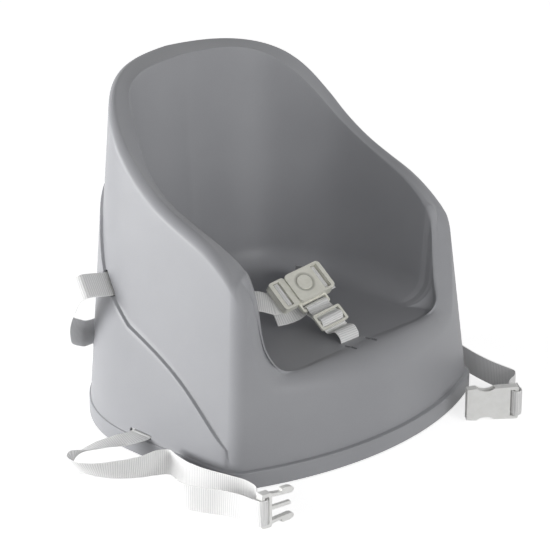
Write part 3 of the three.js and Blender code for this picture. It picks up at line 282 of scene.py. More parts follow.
def catmull_rom(points, steps):
    """Centripetal Catmull-Rom curve: a cubic between each two points, with knots spaced by the square root
    of the distances, so that it has no loops. Returns points and station numbers."""
    p = np.vstack([2 * points[0] - points[1], points, 2 * points[-1] - points[-2]])
    knots = np.concatenate([[0], np.cumsum(np.sqrt(np.linalg.norm(np.diff(p, axis=0), axis=1)) + 1e-9)])
    line, places = [], []
    for i in range(len(points) - 1):
        k = knots[i:i + 4]
        f = np.linspace(0, 1, steps + 1)[:None if i == len(points) - 2 else -1]
        t = (k[1] + (k[2] - k[1]) * f)[:, None]
        a = [between(t, k[j], k[j + 1], p[i + j], p[i + j + 1]) for j in range(3)]
        b = [between(t, k[j], k[j + 2], a[j], a[j + 1]) for j in range(2)]
        line.append(between(t, k[1], k[2], *b))
        places.append(i + f)
    return np.vstack(line), np.concatenate(places)


def unit(vectors):
    return vectors / np.linalg.norm(vectors, axis=-1, keepdims=True)


def webbing_object(name, stations):
    """A ribbon along the stations. Its section is a superellipse: cos(a)^0.3 of the half width and
    sin(a)^0.7 of the half thickness, which gives flat faces and round edges."""
    stations = np.asarray(stations, float)
    line, places = catmull_rom(stations[:, :3], STEPS_PER_STATION)
    tangent = unit(np.gradient(line, axis=0))
    keys = np.arange(len(stations))
    across = np.stack([np.interp(places, keys, stations[:, 3 + k]) for k in range(3)], -1)
    across = unit(across - (across * tangent).sum(-1, keepdims=True) * tangent)
    up = np.cross(tangent, across)
    angle = np.linspace(0, 2 * np.pi, SECTION_POINTS, endpoint=False)
    c, s = np.cos(angle), np.sin(angle)
    side = np.sign(c) * np.abs(c) ** 0.3 * WEBBING_WIDTH / 2
    lift = -np.sign(s) * np.abs(s) ** 0.7 * WEBBING_THICKNESS / 2
    rings = line[:, None] + across[:, None] * side[:, None] + up[:, None] * lift[:, None]
    length = np.concatenate([[0], np.cumsum(np.linalg.norm(np.diff(line, axis=0), axis=1))])
    made = grid_object(name, rings, line[0], line[-1], {
        "along": np.repeat(length[:, None], len(angle), 1) * MM,
        "across": np.repeat((side / (WEBBING_WIDTH / 2))[None], len(line), 0),
    })
    return made, line * MM, length[-1] * MM


# %% [markdown]
# The side-release buckles stand on their edge on the floor, and so do the straps near them. A strap station
# at the male buckle is written in its own directions: along it and across its thickness.

# %% Places of the buckles
CLIP_HEIGHT, CLIP_STANDS = 33, 0.4
CLIP_MIDDLE = CLIP_STANDS + CLIP_HEIGHT / 2
WEB_EDGE = CLIP_STANDS + WEBBING_WIDTH / 2
MALE_X, MALE_Y, MALE_TURN = -202, -187, np.radians(-10)


def at_male(x, y, z=CLIP_MIDDLE):
    """A station of a strap on its edge, x along the male buckle and y across it."""
    c, s = np.cos(MALE_TURN), np.sin(MALE_TURN)
    return [MALE_X + x * c - y * s, MALE_Y + x * s + y * c, z, 0, 0, -1]


def on_edge(way, z, *places, start=0):
    """Stations of a strap on its edge, at height z, with x from start. Its width points up for way 1 and
    down for way -1."""
    return [[start + x, y, z, 0, 0, way] for x, y in places]


# %% [markdown]
# ## The cords
# The base strap comes out of a slot at each side. At the left it makes a loop, comes back along the floor on
# its edge, passes through the male buckle and ends in a tail beside it. At the right it runs forward to the
# female buckle and turns round its bar.

# %% Base strap
BASE_SLOT_Y, BASE_SLOT_Z = -5, 21.4
BASE_START = 170.6


def flat_at(x, drop=0):
    """A station at the base slots' middle line, where the strap lies flat."""
    return [x, BASE_SLOT_Y, BASE_SLOT_Z - drop, 0, 1, 0]


base_left_path = [
    flat_at(-BASE_START), flat_at(-BASE_START - 6),
    [-BASE_START - 20, BASE_SLOT_Y + 5, BASE_SLOT_Z - 0.5, 0, 1, 0],
    [-209, 9, 19.5, 0.1, 0.95, -0.2], [-228, 15.5, 15.5, 0.3, 0.8, -0.5],
    [-240, 10.5, 12.4, 0.65, 0.5, -0.6], [-243, -1.5, 12.2, 0.6, 0.35, -0.74],
    [-236.5, -17, 12.4, 0.4, 0.45, -0.8], [-224.5, -30, 12.8, 0.25, 0.35, -0.9],
    [-207, -41, WEB_EDGE, 0.1, 0.25, -0.96],
    *on_edge(
        -1, WEB_EDGE, (-190, -46), (-180.5, -53), (-183.5, -66), (-187, -85), (-186, -106), (-181, -129),
        (-178, -147),
    ),
    [-182, -163, WEB_EDGE + 1, 0, 0, -1],
    at_male(7, 12, CLIP_MIDDLE - 1), at_male(5.4, 3), at_male(5.6, -3), at_male(4.8, -6),
]
base_tail_path = [
    at_male(3.4, -7), at_male(-2, -6), at_male(-4, 3, CLIP_MIDDLE - 1),
    [-203.5, -166, WEB_EDGE + 1, 0, 0, -1],
    *on_edge(-1, WEB_EDGE, (-206.5, -147), (-215, -129), (-219.5, -117), (-220, -103.5)),
]
base_right_path = [
    flat_at(BASE_START), flat_at(BASE_START + 6),
    [BASE_START + 16, BASE_SLOT_Y - 2.5, BASE_SLOT_Z - 0.4, 0.15, 0.95, 0.2],
    [199, -16, 17.5, 0.4, 0.5, 0.7], [205, -35, 14, 0.2, 0.1, 0.96],
    *on_edge(1, WEB_EDGE, (202, -60), (193.5, -86), (185.5, -112), (180.5, -136), (179, -155)),
    [175.5, -169, WEB_EDGE + 1, 0, 0, 1], [163, -179, CLIP_MIDDLE - 1, 0, 0, 1],
    *on_edge(
        1, CLIP_MIDDLE, (149, -184.5), (140, -190.5), (135, -197.2), (130.6, -202.7), (131.2, -207.6),
        (138.4, -207.2), (143, -200.5), (149, -193),
    ),
]
base_inner_path = [
    flat_at(-BASE_START + 0.3), flat_at(-119, 3), flat_at(0, 6), flat_at(119, 3), flat_at(BASE_START - 0.3),
]
straps = {}


def strap(node, path, body="seat"):
    """A strap that stands for one CAD node and rides on its body."""
    made, line, length = webbing_object("web_" + node, path)
    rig.replaces(made, node)
    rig.slot(made, "webbing")
    if body:
        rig.ride(made, body)
    straps[node] = made
    print(node, "length in mm:", round(length / MM))
    return made, line, length


def cord(node, path, with_pieces):
    """A strap whose free part is a cord, with the pieces on its far end."""
    made, line, length = strap(node, path)
    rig.cord(
        made, exit=line[0], length=length, diameter=WEBBING_WIDTH * MM, far_end="connector",
        stiffness="limp", lay="loose", path=line, with_pieces=with_pieces,
    )


base_tail, _, _ = strap("base_strap_tail", base_tail_path)
cord("base_strap_left", base_left_path, [base_tail, "base_buckle_male"])
cord("base_strap_right", base_right_path, ["base_buckle_female"])
strap("base_strap_inner", base_inner_path)

# %% [markdown]
# The second tying strap comes out of the slanted slots beside the backrest. Each half bows out in a wide
# loop, in the plane across the slot's length, so that it needs no twist. Then it turns upright, hugs the
# shell's back on its way down, and passes round the bar of its half of the buckle.

# %% Back strap
SLOT_HEIGHT = 148
SLOT_MIDDLE = np.array([147.919, 56, SLOT_HEIGHT])
SLOT_OUTWARD = np.array([0.943, 0.334, 0])
SLOT_WEB = [-0.248, 0.7, 0.669]
SLOT_DOWNWARD = np.array([-0.223, 0.631, -0.743])
UPRIGHT = [-0.13, 0.48, 0.87]


def through_slot(distance, across=SLOT_WEB, down=0.0):
    """A station at a distance outwards from the slot's middle, and down across its length."""
    return [*(SLOT_MIDDLE + distance * SLOT_OUTWARD + down * SLOT_DOWNWARD), *across]


def mirrored(stations):
    """The same stations on the other side: x and the width's x change sign."""
    return [[-x, y, z, -wx, wy, wz] for x, y, z, wx, wy, wz in stations]


loop = [(0.3, 0), (3, 0), (9, -1), (18, -3), (27, -3), (32.5, 4), (32.5, 20), (31, 44)]
free_end = [
    *[through_slot(distance, down=down) for distance, down in loop],
    through_slot(26, [-0.2, 0.6, 0.77], down=66),
    through_slot(15, [-0.05, 0.2, 0.98], down=87),
    [125, 121, 73, 0, 0, 1], [106, 135, 64, 0, 0, 1],
]
MALE_BAR, FEMALE_BAR = 26, 80
to_male = [
    [79.31, 152.04, 54, 0, 0, 1], [60, 174, 38, 0, 0, 1], [45, 180, 24, 0, 0, 1],
    *on_edge(
        1, CLIP_MIDDLE, (8, 183.5), (-1.5, 185.2), (-5.4, 189), (-5.8, 197), (-3.5, 200.3), (1.6, 199.6),
        (3.5, 194), start=MALE_BAR,
    ),
]
to_female = [
    [FEMALE_BAR + 16, 166, 42, 0, 0, 1], [FEMALE_BAR + 12, 175, 27, 0, 0, 1],
    [FEMALE_BAR + 6, 181, 19, 0, 0, 1],
    *on_edge(
        1, CLIP_MIDDLE, (-1, 184.3), (-5.4, 189), (-5.8, 198), (-3.5, 201), (1.8, 200.3), (3.6, 194.5),
        start=FEMALE_BAR,
    ),
]
inner_half = [
    through_slot(0), through_slot(-4.5), through_slot(-10, UPRIGHT),
    *on_edge(1, SLOT_HEIGHT, (122.84, 59.91), (112.64, 74.85), (84.01, 100.58), (43.17, 116.43)),
]
inner_middle = on_edge(1, SLOT_HEIGHT, (0, 121.61))
cord("back_strap_left", mirrored(free_end + to_male), ["back_buckle_male"])
cord("back_strap_right", free_end + to_female, ["back_buckle_female"])
strap("back_strap_inner", inner_half + inner_middle + mirrored(inner_half)[::-1])

# %% [markdown]
# ## The harness
# The harness straps are threaded through small frames, so their stations are written in the buckle's own
# directions: along the lap, up the lap, and out of the face. Each strap comes up through the seat's floor
# from its web stop, where it turns back on itself.

# %% Harness straps
FLOOR_HEIGHT = 95.0
BUCKLE_PLACE = np.array([3.64, -47.2, FLOOR_HEIGHT + 36.7])
face = unit(np.array([-0.212, -0.598, 0.772]))
lap_way = np.array([0.977, -0.137, 0.162])
lap_way = unit(lap_way - face * (lap_way @ face))
up_way = np.cross(face, lap_way)
CASE_MIDDLE_Y = -1.5
BELT_SLOT_X, BELT_SLOT_Y, CROTCH_SLOT_Y = 82, 22, -110.5
STOP_DROP, STOP_THICKNESS = 3.3, 4.0
STOP_TOP = FLOOR_HEIGHT - STOP_DROP
UNDER_STOP = STOP_TOP - STOP_THICKNESS


def in_buckle(x, y, z):
    """The point x along the lap, y up the lap and z out of the face, from the button's middle."""
    return BUCKLE_PLACE + x * lap_way + y * up_way + z * face


def buckle_station(x, y, z, across=up_way):
    return [*in_buckle(x, y, z), *across]


def above_floor(x, y, height, *across):
    return [x, y, FLOOR_HEIGHT + height, *across]


def through_stop(station):
    """From under the web stop up through the floor, by distance from the slot's middle."""
    return [
        station(11, UNDER_STOP - 0.2), station(4, UNDER_STOP - 0.2), station(0.9, UNDER_STOP - 0.4),
        station(-0.3, UNDER_STOP + 0.9), station(0, STOP_TOP), station(0, FLOOR_HEIGHT + 1),
    ]


def lap_belt(outward, half_thickness, window, lap, tail):
    """From the floor over the lap, up through the frame's window, over its bar, and down again."""
    under, over_bar, leg = half_thickness + 1.0, 2.5, 2.5
    turns = [
        (9.7, -under - 0.9), (leg + 2.2, -under - 0.5), (leg + 0.4, -under + 0.1), (leg, -under + 1.8),
        (leg, 0.6), (leg - 0.9, over_bar + 0.1), (0, over_bar + 0.4), (-leg + 0.9, over_bar + 0.1),
        (-leg, 0.6), (-leg, -under + 1.6), (-leg - 0.3, -under - 0.2),
    ]
    return [
        *through_stop(lambda across, z: [outward * (BELT_SLOT_X - across), BELT_SLOT_Y, z, 0, 1, 0]),
        *[above_floor(*station) for station in lap],
        *[buckle_station(window + outward * x, CASE_MIDDLE_Y, z) for x, z in turns],
        *[buckle_station(*station) for station in tail],
    ]


left_belt_path = lap_belt(
    outward=-1, half_thickness=4.2, window=-26.3,
    lap=[
        [-81.6, 22, 5.5, 0, 1, 0], [-79, 17, 11.5, 0.15, 0.95, 0.2], [-71.5, 1, 18.5, 0.4, 0.8, 0.4],
        [-58.5, -19, 25, 0.5, 0.72, 0.45], [-44, -32, 29.5, 0.5, 0.72, 0.45],
    ],
    tail=[[-21, -1.5, -7.4], [-17, -2, -8.4], [-11, -3, -9], [-5, -4, -10]],
)
right_belt_path = lap_belt(
    outward=1, half_thickness=6.2, window=18.3,
    lap=[
        [81.7, 22, 5, 0, 1, 0], [79, 18, 10, -0.1, 0.95, 0.2], [70.5, 0, 15.5, -0.1, 0.85, 0.4],
        [57.5, -24, 23.5, -0.05, 0.8, 0.5], [43, -42.5, 31.8, 0, 0.8, 0.6],
    ],
    tail=[
        [13, -1.5, -8.7], [8, -4, -11.5], [-2, -9, -13.5], [-14, -12, -15], [-26, -11, -16],
        [-36, -8.5, -16.5],
    ],
)

# %% [markdown]
# The crotch strap goes up behind its slide's lower rim, over the middle bar and down behind the upper rim.
# It turns round the case's bracket and comes back beneath itself. A place is (up the lap, out of the face),
# from the slide's middle or the bracket's foot.

# %% Crotch strap
SLIDE_X, SLIDE_Y, SLIDE_Z = -0.9, -43.2, 6.3
BRACKET_Y = -25.5
through_slide = [
    (-12, -1.8), (-9, -2.5), (-6.6, -2.1), (-4, 0), (-1.9, 2.1), (0, 2.5), (1.9, 2.1), (4, 0), (6.6, -2.1),
    (9, -2.6), (12, -3.8),
]
round_bracket = [(-1, 0.6), (3.2, 0.5), (5.5, -2.7), (3.2, -5.8), (-1, -5.9)]
back_beneath = [(11, -8.2), (3, -6), (-4, -4.6)]


def at_slide(places):
    return [buckle_station(SLIDE_X, SLIDE_Y + y, SLIDE_Z + z, lap_way) for y, z in places]


crotch_path = [
    *through_stop(lambda across, z: [0, CROTCH_SLOT_Y + across, z, 1, 0, 0]),
    above_floor(0, -108.4, 5.6, 1, -0.03, 0),
    above_floor(0.3, -103, 9, 1, -0.06, 0.05),
    *at_slide(through_slide),
    *[buckle_station(0, BRACKET_Y + y, z, lap_way) for y, z in round_bracket],
    *at_slide(back_beneath),
]
left_belt, _, _ = strap("waist_belt_left", left_belt_path, body=None)
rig.blend(left_belt, "seat", "tongue", start=(-0.079, 0.017, 0.1065), end=(-0.036, -0.036, 0.126))
strap("waist_belt_right", right_belt_path)
strap("crotch_strap", crotch_path)

# %% [markdown]
# ## The shell
# The real shell is one injection moulding with a wall of 3 mm. Its plan is a chain of tangent arcs: a front
# bow, a tight front corner, a nearly straight side, a wide rear corner and the back. The same chain with
# other radii, set back, is the crown. A column of the shell goes up the outer wall, a straight loft between
# the two chains, over the rim and down into the bucket. All columns are worked out at once.

# %% Plan of the shell
ARC_TURNS = np.radians([26, 59.8, 5.5, 38.15])
FOOT_RADII = [356.6, 22.2, 1240, 147.5]
CROWN_RADII = [281.8, 15.9, 1376, 50.8]
CROWN_SETBACK, CROWN_HEIGHT = 34.8, 325
FLANGE_BOTTOM, FLANGE_HEIGHT, FLANGE_LEDGE, FLANGE_ROUND = 1.2, 18, 4.6, 1.2
LEDGE_FILLET = [(0.1, 0.7), (0.3, 0.2)]
SKIN, PANEL_PROUD, STEP_RISE = 3, 3, 1.6
FLOOR_FILLET, FLOOR_MIDDLE_Y, WALL_LEAN = 28, -5, np.tan(np.radians(4))


def arc_chain(radii, front_y):
    """Tangent arcs: each turns the heading h by its angle, and moves the point by radius times the change
    of (sin h, -cos h). The last one ends on the middle plane. u counts arcs from the front middle."""
    heading = np.concatenate([[0], np.cumsum(ARC_TURNS)])
    x, y = [0.0], [front_y]
    for i, radius in enumerate(radii):
        x.append(x[-1] + radius * (np.sin(heading[i + 1]) - np.sin(heading[i])))
        y.append(y[-1] + radius * (np.cos(heading[i]) - np.cos(heading[i + 1])))
    turns = np.append(ARC_TURNS, np.pi - heading[-1])
    radii, x, y = np.append(radii, x[-1] / np.sin(heading[-1])), np.array(x), np.array(y)

    def place(u):
        i = np.clip(np.floor(u).astype(int), 0, len(turns) - 1)
        h = heading[i] + turns[i] * (u - i)
        along_x = x[i] + radii[i] * (np.sin(h) - np.sin(heading[i]))
        along_y = y[i] + radii[i] * (np.cos(heading[i]) - np.cos(h))
        return along_x, along_y, h

    return place


BACK_CENTRE = 5.0
front_y = -arc_chain(FOOT_RADII, 0)(np.array([BACK_CENTRE]))[1][0] / 2
foot_outline = arc_chain(FOOT_RADII, front_y)
crown_outline = arc_chain(CROWN_RADII, front_y + CROWN_SETBACK)
print("shell depth in mm:", round(-2 * front_y, 1))


def flange_row(u, z, inset):
    """The foot's outline at height z, moved inwards by a distance."""
    x, y, h = foot_outline(u)
    return np.stack([x - np.sin(h) * inset, y + np.cos(h) * inset, np.full_like(x, z)], -1)


def wall_row(u, z, out):
    """The outer wall at height z, moved outwards by a distance: a share of the way from the foot's outline
    to the crown's, less the flange's ledge, which fades out towards the crown."""
    foot_x, foot_y, h = foot_outline(u)
    crown_x, crown_y, _ = crown_outline(u)
    z = np.broadcast_to(z, foot_x.shape)
    rise = np.maximum(z - FLANGE_HEIGHT, 0) / (CROWN_HEIGHT - FLANGE_HEIGHT)
    out = out - FLANGE_LEDGE * (1 - rise)
    x = foot_x + (crown_x - foot_x) * rise + np.sin(h) * out
    y = foot_y + (crown_y - foot_y) * rise - np.cos(h) * out
    return np.stack([x, y, z], -1)


# %% [markdown]
# The rim's inner edge rises from the low front lip, over the armrest, to the top of the backrest. For u,
# RIM_EDGE gives its x, y and z, RIM_FALL how far the rim falls from there to its outer edge, and RIM_ROUND
# and RIM_BEAD the radii of its outer and inner edge. PANEL_BORDER gives z for y. A table is short enough to
# be drawn, and a curve between its rows keeps the rim smooth.

# %% Rim and panel tables
RIM_EDGE = np.array([
    [0, 0, -124, 96], [0.4, 52, -124, 96], [0.7, 88, -124, 96], [0.82, 102.5, -123.2, 100],
    [0.88, 111.3, -120.3, 110], [0.92, 116, -113.8, 124], [0.95, 118, -110.7, 140], [0.98, 119, -108.4, 158],
    [1.03, 120.2, -106.4, 172], [1.2, 121.5, -103.2, 184], [1.6, 121.8, -99, 192], [2, 122.5, -92, 198],
    [2.25, 126.4, -66, 213], [2.5, 128.4, -38, 224], [2.75, 129.2, -6, 238], [3, 125.6, 24, 258],
    [3.5, 117, 46, 283], [4, 104, 68.7, 304.6], [4.2, 88, 87, 317], [4.5, 56, 101, 325], [5, 0, 107, 328],
])
RIM_FALL = np.array([
    [0, 0], [0.7, 0], [0.95, 5], [1.2, 9], [1.6, 8], [2, 2.5], [2.25, -2], [2.5, -3], [2.75, -4], [3, -7.5],
    [3.5, -9], [4, -5], [4.5, -4], [5, -4],
])
RIM_ROUND = np.array([
    [0, 25], [0.7, 25], [0.9, 15], [1.1, 13], [1.6, 12], [2.2, 9.5], [3, 8], [4, 6.5], [5, 6],
])
RIM_BEAD = np.array([[0, 1.6], [0.7, 1.6], [0.85, 5], [1.1, 7], [1.6, 6], [2.2, 3], [2.8, 1.6], [5, 1.6]])
PANEL_BORDER = np.array([
    [-110, 20], [-106, 24], [-92, 51], [-73, 70], [-48, 90], [-17, 104], [3, 110.5], [29, 126], [46, 139],
    [67, 156], [80, 190], [92, 214], [110, 224], [130, 225],
])
RIM_SPREAD, BORDER_SPREAD = 10, 6


def smoothstep(value, start, end):
    """0 up to start and 1 from end on, with 3 t^2 - 2 t^3 between them."""
    t = np.clip((value - start) / (end - start), 0, 1)
    return t * t * (3 - 2 * t)


def smooth_table(table, u):
    """The table at u on a cubic Hermite curve: a row's slope is that of the chord past it."""
    keys, values = table[:, 0], table[:, 1:]
    i = np.clip(np.searchsorted(keys, u) - 1, 0, len(keys) - 2)
    before, after = np.maximum(i - 1, 0), np.minimum(i + 2, len(keys) - 1)
    span = (keys[i + 1] - keys[i])[:, None]
    t = np.clip((u - keys[i])[:, None] / span, 0, 1)
    slope_in = (values[i + 1] - values[before]) / (keys[i + 1] - keys[before])[:, None] * span
    slope_out = (values[after] - values[i]) / (keys[after] - keys[i])[:, None] * span
    return (
        (2 * t**3 - 3 * t**2 + 1) * values[i] + (t**3 - 2 * t**2 + t) * slope_in
        + (3 * t**2 - 2 * t**3) * values[i + 1] + (t**3 - t**2) * slope_out
    )


def softened(values, width):
    """A running mean with a Gaussian weight. Both ends are continued by point reflection, so they stay."""
    reach = np.arange(-3 * width, 3 * width + 1)
    weight = np.exp(-0.5 * (reach / width) ** 2)
    padded = np.pad(values, 3 * width, mode="reflect", reflect_type="odd")
    return np.convolve(padded, weight / weight.sum(), mode="valid")


def softened_table(table, u, first):
    """The table's smooth curves at u, averaged over RIM_SPREAD mm of way round the crown, where u runs at
    uneven speed. The steep rise at the front of the arms, before u = first, is read as it is."""
    fine = np.linspace(0, BACK_CENTRE, 4001)
    x, y, _ = crown_outline(fine)
    way = np.concatenate([[0], np.cumsum(np.hypot(np.diff(x), np.diff(y)))])
    even = np.interp(np.linspace(0, way[-1], 2001), way, fine)
    width = round(RIM_SPREAD * 2000 / way[-1])
    share = smoothstep(even, first, first + 0.8)
    curves = smooth_table(table, even).T
    mean = [softened(values, width) * share + values * (1 - share) for values in curves]
    return np.stack([np.interp(u, even, values) for values in mean], -1)


def panel_border(u):
    """The height at which a column of the wall meets the panel's border, found by halving."""
    low, high = np.full_like(u, PANEL_BORDER[0, 1]), np.full_like(u, PANEL_BORDER[-1, 1])
    for _ in range(40):
        z = (low + high) / 2
        over = z > np.interp(wall_row(u, z, 0)[:, 1], PANEL_BORDER[:, 0], PANEL_BORDER[:, 1])
        low, high = np.where(over, low, z), np.where(over, z, high)
    return low


# %% [markdown]
# A skin is a stack of rows: flange, proud panel, its step, plain wall, rim, bucket wall and floor. The
# hollow is the same form moved in by the wall's thickness, with fewer rows. Both skins start from their rim.

# %% Rim of a skin
FINE = SimpleNamespace(panel=18, wall=22, turn=12, bucket=18, fillet=14, floor=(0.12, 0.3, 0.5, 0.7, 0.88))
COARSE = SimpleNamespace(panel=5, wall=7, turn=4, bucket=5, fillet=6, floor=(0.4,))


def rim_of(u, skin):
    """The rim of the skin that lies skin mm inside: it rises by fall over its width, from its outer to its
    inner edge. rounding and bead are the edges' radii, limited by the room they have."""
    edge = softened_table(RIM_EDGE, u, 1.6)
    fall = softened_table(RIM_FALL, u, 1.1)[:, 0]
    to_middle = unit(np.stack([-edge[:, 0], FLOOR_MIDDLE_Y - edge[:, 1]], -1))
    inner, inner_z = edge[:, :2] - to_middle * skin * 1.15, edge[:, 2] - skin
    outer_z = inner_z - fall
    outer = wall_row(u, outer_z, -skin)[:, :2]
    width = np.linalg.norm(inner - outer, axis=-1)
    rounding = softened_table(RIM_ROUND, u, 1.1)[:, 0] - skin
    drop = inner_z - (FLOOR_HEIGHT - skin)
    return SimpleNamespace(
        inner=inner, inner_z=inner_z, outer=outer, outer_z=outer_z, width=width, fall=fall, drop=drop,
        to_middle=to_middle, inward=(inner - outer) / width[:, None],
        rows=COARSE if skin else FINE,
        rounding=np.clip(rounding, 1, width * 0.85),
        bead=np.minimum(smooth_table(RIM_BEAD, u)[:, 0], drop * 0.4),
    )


# %% [markdown]
# The outer skin's wall stands on the flange. Its panel is 3 mm proud, which fades out where the panel's
# border comes down to the flange.


# %% Rows up the wall
def flange_rows(u):
    """The flange, with a quarter round at its lower and at its upper edge."""
    turn = np.linspace(0, np.pi / 2, 5)
    first, second = FLANGE_ROUND * (1 - np.sin(turn)), FLANGE_ROUND * (1 - np.cos(turn))
    lower, upper = zip(FLANGE_BOTTOM + second, first), zip(FLANGE_HEIGHT - first, second)
    return [flange_row(u, z, inset) for z, inset in [*lower, (6, 0), (11, 0), (15, 0), *upper]]


def wall_rows(u, skin, rim):
    """From the foot up to the rim. The panel's step goes back by proud * smoothstep(f) over STEP_RISE."""
    border = softened(panel_border(u), BORDER_SPREAD)
    proud = PANEL_PROUD * smoothstep(border, FLANGE_HEIGHT + 2, FLANGE_HEIGHT + 30)
    wall_end = rim.outer_z - rim.rounding
    panel_top = np.minimum(border, wall_end - 3 * STEP_RISE)
    if skin == 0:
        rows = flange_rows(u) + [wall_row(u, FLANGE_HEIGHT + up, proud + out) for up, out in LEDGE_FILLET]
    else:
        rows = [wall_row(u, z, proud - skin) for z in (FLANGE_BOTTOM, 8)]
    for f in np.linspace(0.012 if skin == 0 else 0, 1, rim.rows.panel):
        rows.append(wall_row(u, FLANGE_HEIGHT + (panel_top - FLANGE_HEIGHT) * f, proud - skin))
    if skin == 0:
        for f in np.linspace(0.1, 0.9, 7):
            rows.append(wall_row(u, panel_top + STEP_RISE * f, proud * (1 - smoothstep(f, 0, 1))))
    for f in np.linspace(0, 1, rim.rows.wall):
        rows.append(wall_row(u, panel_top + STEP_RISE + (wall_end - panel_top - STEP_RISE) * f, -skin))
    return rows


# %% [markdown]
# The rim turns in with a quarter round, slopes to the bucket's edge and turns down there. The bucket's wall
# leans in by 4 degrees, and a fillet leads to the flat floor, which closes at its middle.


# %% Rows over the rim and into the bucket
def quarter(steps):
    """The angles of a quarter turn after its start, where the row before already is."""
    return np.linspace(0, np.pi / 2, steps + 1)[1:]


def rim_rows(u, skin, rim):
    """The slope over the share s of its way rises by fall * (1.4 s - 0.4 s^2)."""
    rows = []
    for a in quarter(rim.rows.turn):
        row = wall_row(u, rim.outer_z - rim.rounding * (1 - np.sin(a)), -skin)
        row[:, :2] += rim.inward * (rim.rounding * (1 - np.cos(a)))[:, None]
        rows.append(row)
    if skin:
        return rows

    def on_rim(distance, z):
        return np.column_stack([rim.outer + rim.inward * distance[:, None], z])

    for s in np.linspace(0, 1, 9)[1:]:
        distance = rim.rounding + (rim.width - rim.bead - rim.rounding) * s
        rows.append(on_rim(distance, rim.outer_z + rim.fall * (1.4 * s - 0.4 * s * s)))
    for a in quarter(6)[:-1]:
        distance = rim.width - rim.bead * (1 - np.sin(a))
        rows.append(on_rim(distance, rim.inner_z - rim.bead * (1 - np.cos(a))))
    return rows


def bucket_rows(skin, rim):
    """Down the bucket's wall, round the fillet and over the floor. Gives the rows and the floor's middle."""
    top = rim.inner_z - rim.bead
    fillet = np.minimum(FLOOR_FILLET + skin, (rim.drop - rim.bead) * 0.9)
    fillet_top = FLOOR_HEIGHT - skin + fillet

    def inside(distance, z):
        return np.column_stack([rim.inner + rim.to_middle * distance[:, None], z])

    rows = []
    for f in np.linspace(0, 1, rim.rows.bucket):
        z = top + (fillet_top - rim.inner_z + rim.bead) * f
        rows.append(inside((top - z) * WALL_LEAN, z))
    foot = (top - fillet_top) * WALL_LEAN
    for a in quarter(rim.rows.fillet):
        reach = np.maximum(fillet, 5) * (1 - np.cos(a))
        rows.append(inside(foot + reach, fillet_top - fillet * np.sin(a)))
    middle, last = np.array([0, FLOOR_MIDDLE_Y, FLOOR_HEIGHT - skin]), rows[-1]
    return rows + [last + (middle - last) * f for f in rim.rows.floor], middle


def shell_rows(u, skin):
    """All rows of a skin, and the point in the middle of its floor."""
    rim = rim_of(u, skin)
    inside, middle = bucket_rows(skin, rim)
    return wall_rows(u, skin, rim) + rim_rows(u, skin, rim) + inside, middle


# %% [markdown]
# The columns stand closest at the front corner, where the rim rises steeply. The hollow's rows, turned
# round, are joined to the outer ones at the flange's lower edge. The left half mirrors the right one.

# %% Shell surface
STRETCHES = [(0.7, 18), (1.06, 54), (2, 30), (3, 28), (4, 42), (5, 34)]
starts = [0] + [end for end, _ in STRETCHES]
columns = np.concatenate([
    np.linspace(start, end, steps, endpoint=False) for start, (end, steps) in zip(starts, STRETCHES)
] + [[BACK_CENTRE]])
outer_rows, floor_pole = shell_rows(columns, 0)
inner_rows, under_pole = shell_rows(columns, SKIN)
right_half = np.array(inner_rows[::-1] + outer_rows)
left_half = right_half[:, 1:-1][:, ::-1] * [-1, 1, 1]
shell = grid_object("shell", np.concatenate([right_half, left_half], 1), under_pole, floor_pole)
print("columns and rows of half the shell:", len(columns), len(right_half))

# %% [markdown]
# The slots are cut with a Boolean modifier. Each cutter is a prism with round ends. All cutters are one
# mesh, because they don't touch each other, and so are the bosses of the feet.


# %% Prisms
def prism(centre, along, across, through, length, width, depth, points=12):
    """Two rings of a prism along through, and their middles. A ring is a stadium: two half circles of
    diameter width, whose middles are length - width apart."""
    angle = np.linspace(0, 2 * np.pi, 2 * points, endpoint=False) + np.pi / (2 * points)
    a = np.cos(angle) * width / 2 + np.sign(np.cos(angle)) * (length - width) / 2
    b = np.sin(angle) * width / 2
    flat = a[:, None] * along + b[:, None] * across
    ends = [centre + through * t for t in (-depth / 2, depth / 2)]
    return np.array([end + flat for end in ends]), ends


def joined(name, prisms):
    """Several closed prisms as one mesh object."""
    pieces = [grid_object(name, rings, *ends) for rings, ends in prisms]
    with bpy.context.temp_override(active_object=pieces[0], selected_editable_objects=pieces):
        bpy.ops.object.join()
    return pieces[0]


def combine(target, other, operation):
    """Applies a Boolean modifier and removes the second object."""
    change = target.modifiers.new(operation.lower(), "BOOLEAN")
    change.operation, change.object, change.solver = operation, other, "EXACT"
    graph = bpy.context.evaluated_depsgraph_get()
    result = bpy.data.meshes.new_from_object(target.evaluated_get(graph))
    target.modifiers.clear()
    target.data = result
    bpy.data.objects.remove(other)


# %% Slots and bosses
SHELL_SHARP = np.radians(38)
X_WAY, Y_WAY, Z_WAY = np.eye(3)
FEET = [(150.4, -111.03), (132.29, 82.96)]
BOSS_Z, POCKET_Z, FOOT_POINTS, CUT_DEPTH = 9.6, 1.2, 20, 16
BOSS, POCKET = (23, 23, 16.8, FOOT_POINTS), (18.6, 18.6, 4.2, FOOT_POINTS)
BACK_SLOT, BASE_SLOT, FLOOR_SLOT, FRONT_SLIT = (28, 5.2), (29, 4.8), (28, 3), (15.5, 3.0)
BACK_SLOT_RISE, BASE_CUT_X, BASE_CUT_Z, SLIT_X, SLIT_Y = 1.2, 170, 22.3, 14, -123.75
bosses, cutters = [], []


def slot(centre, along, across, through, size):
    cutters.append(prism(centre, along, across, through, *size, CUT_DEPTH))


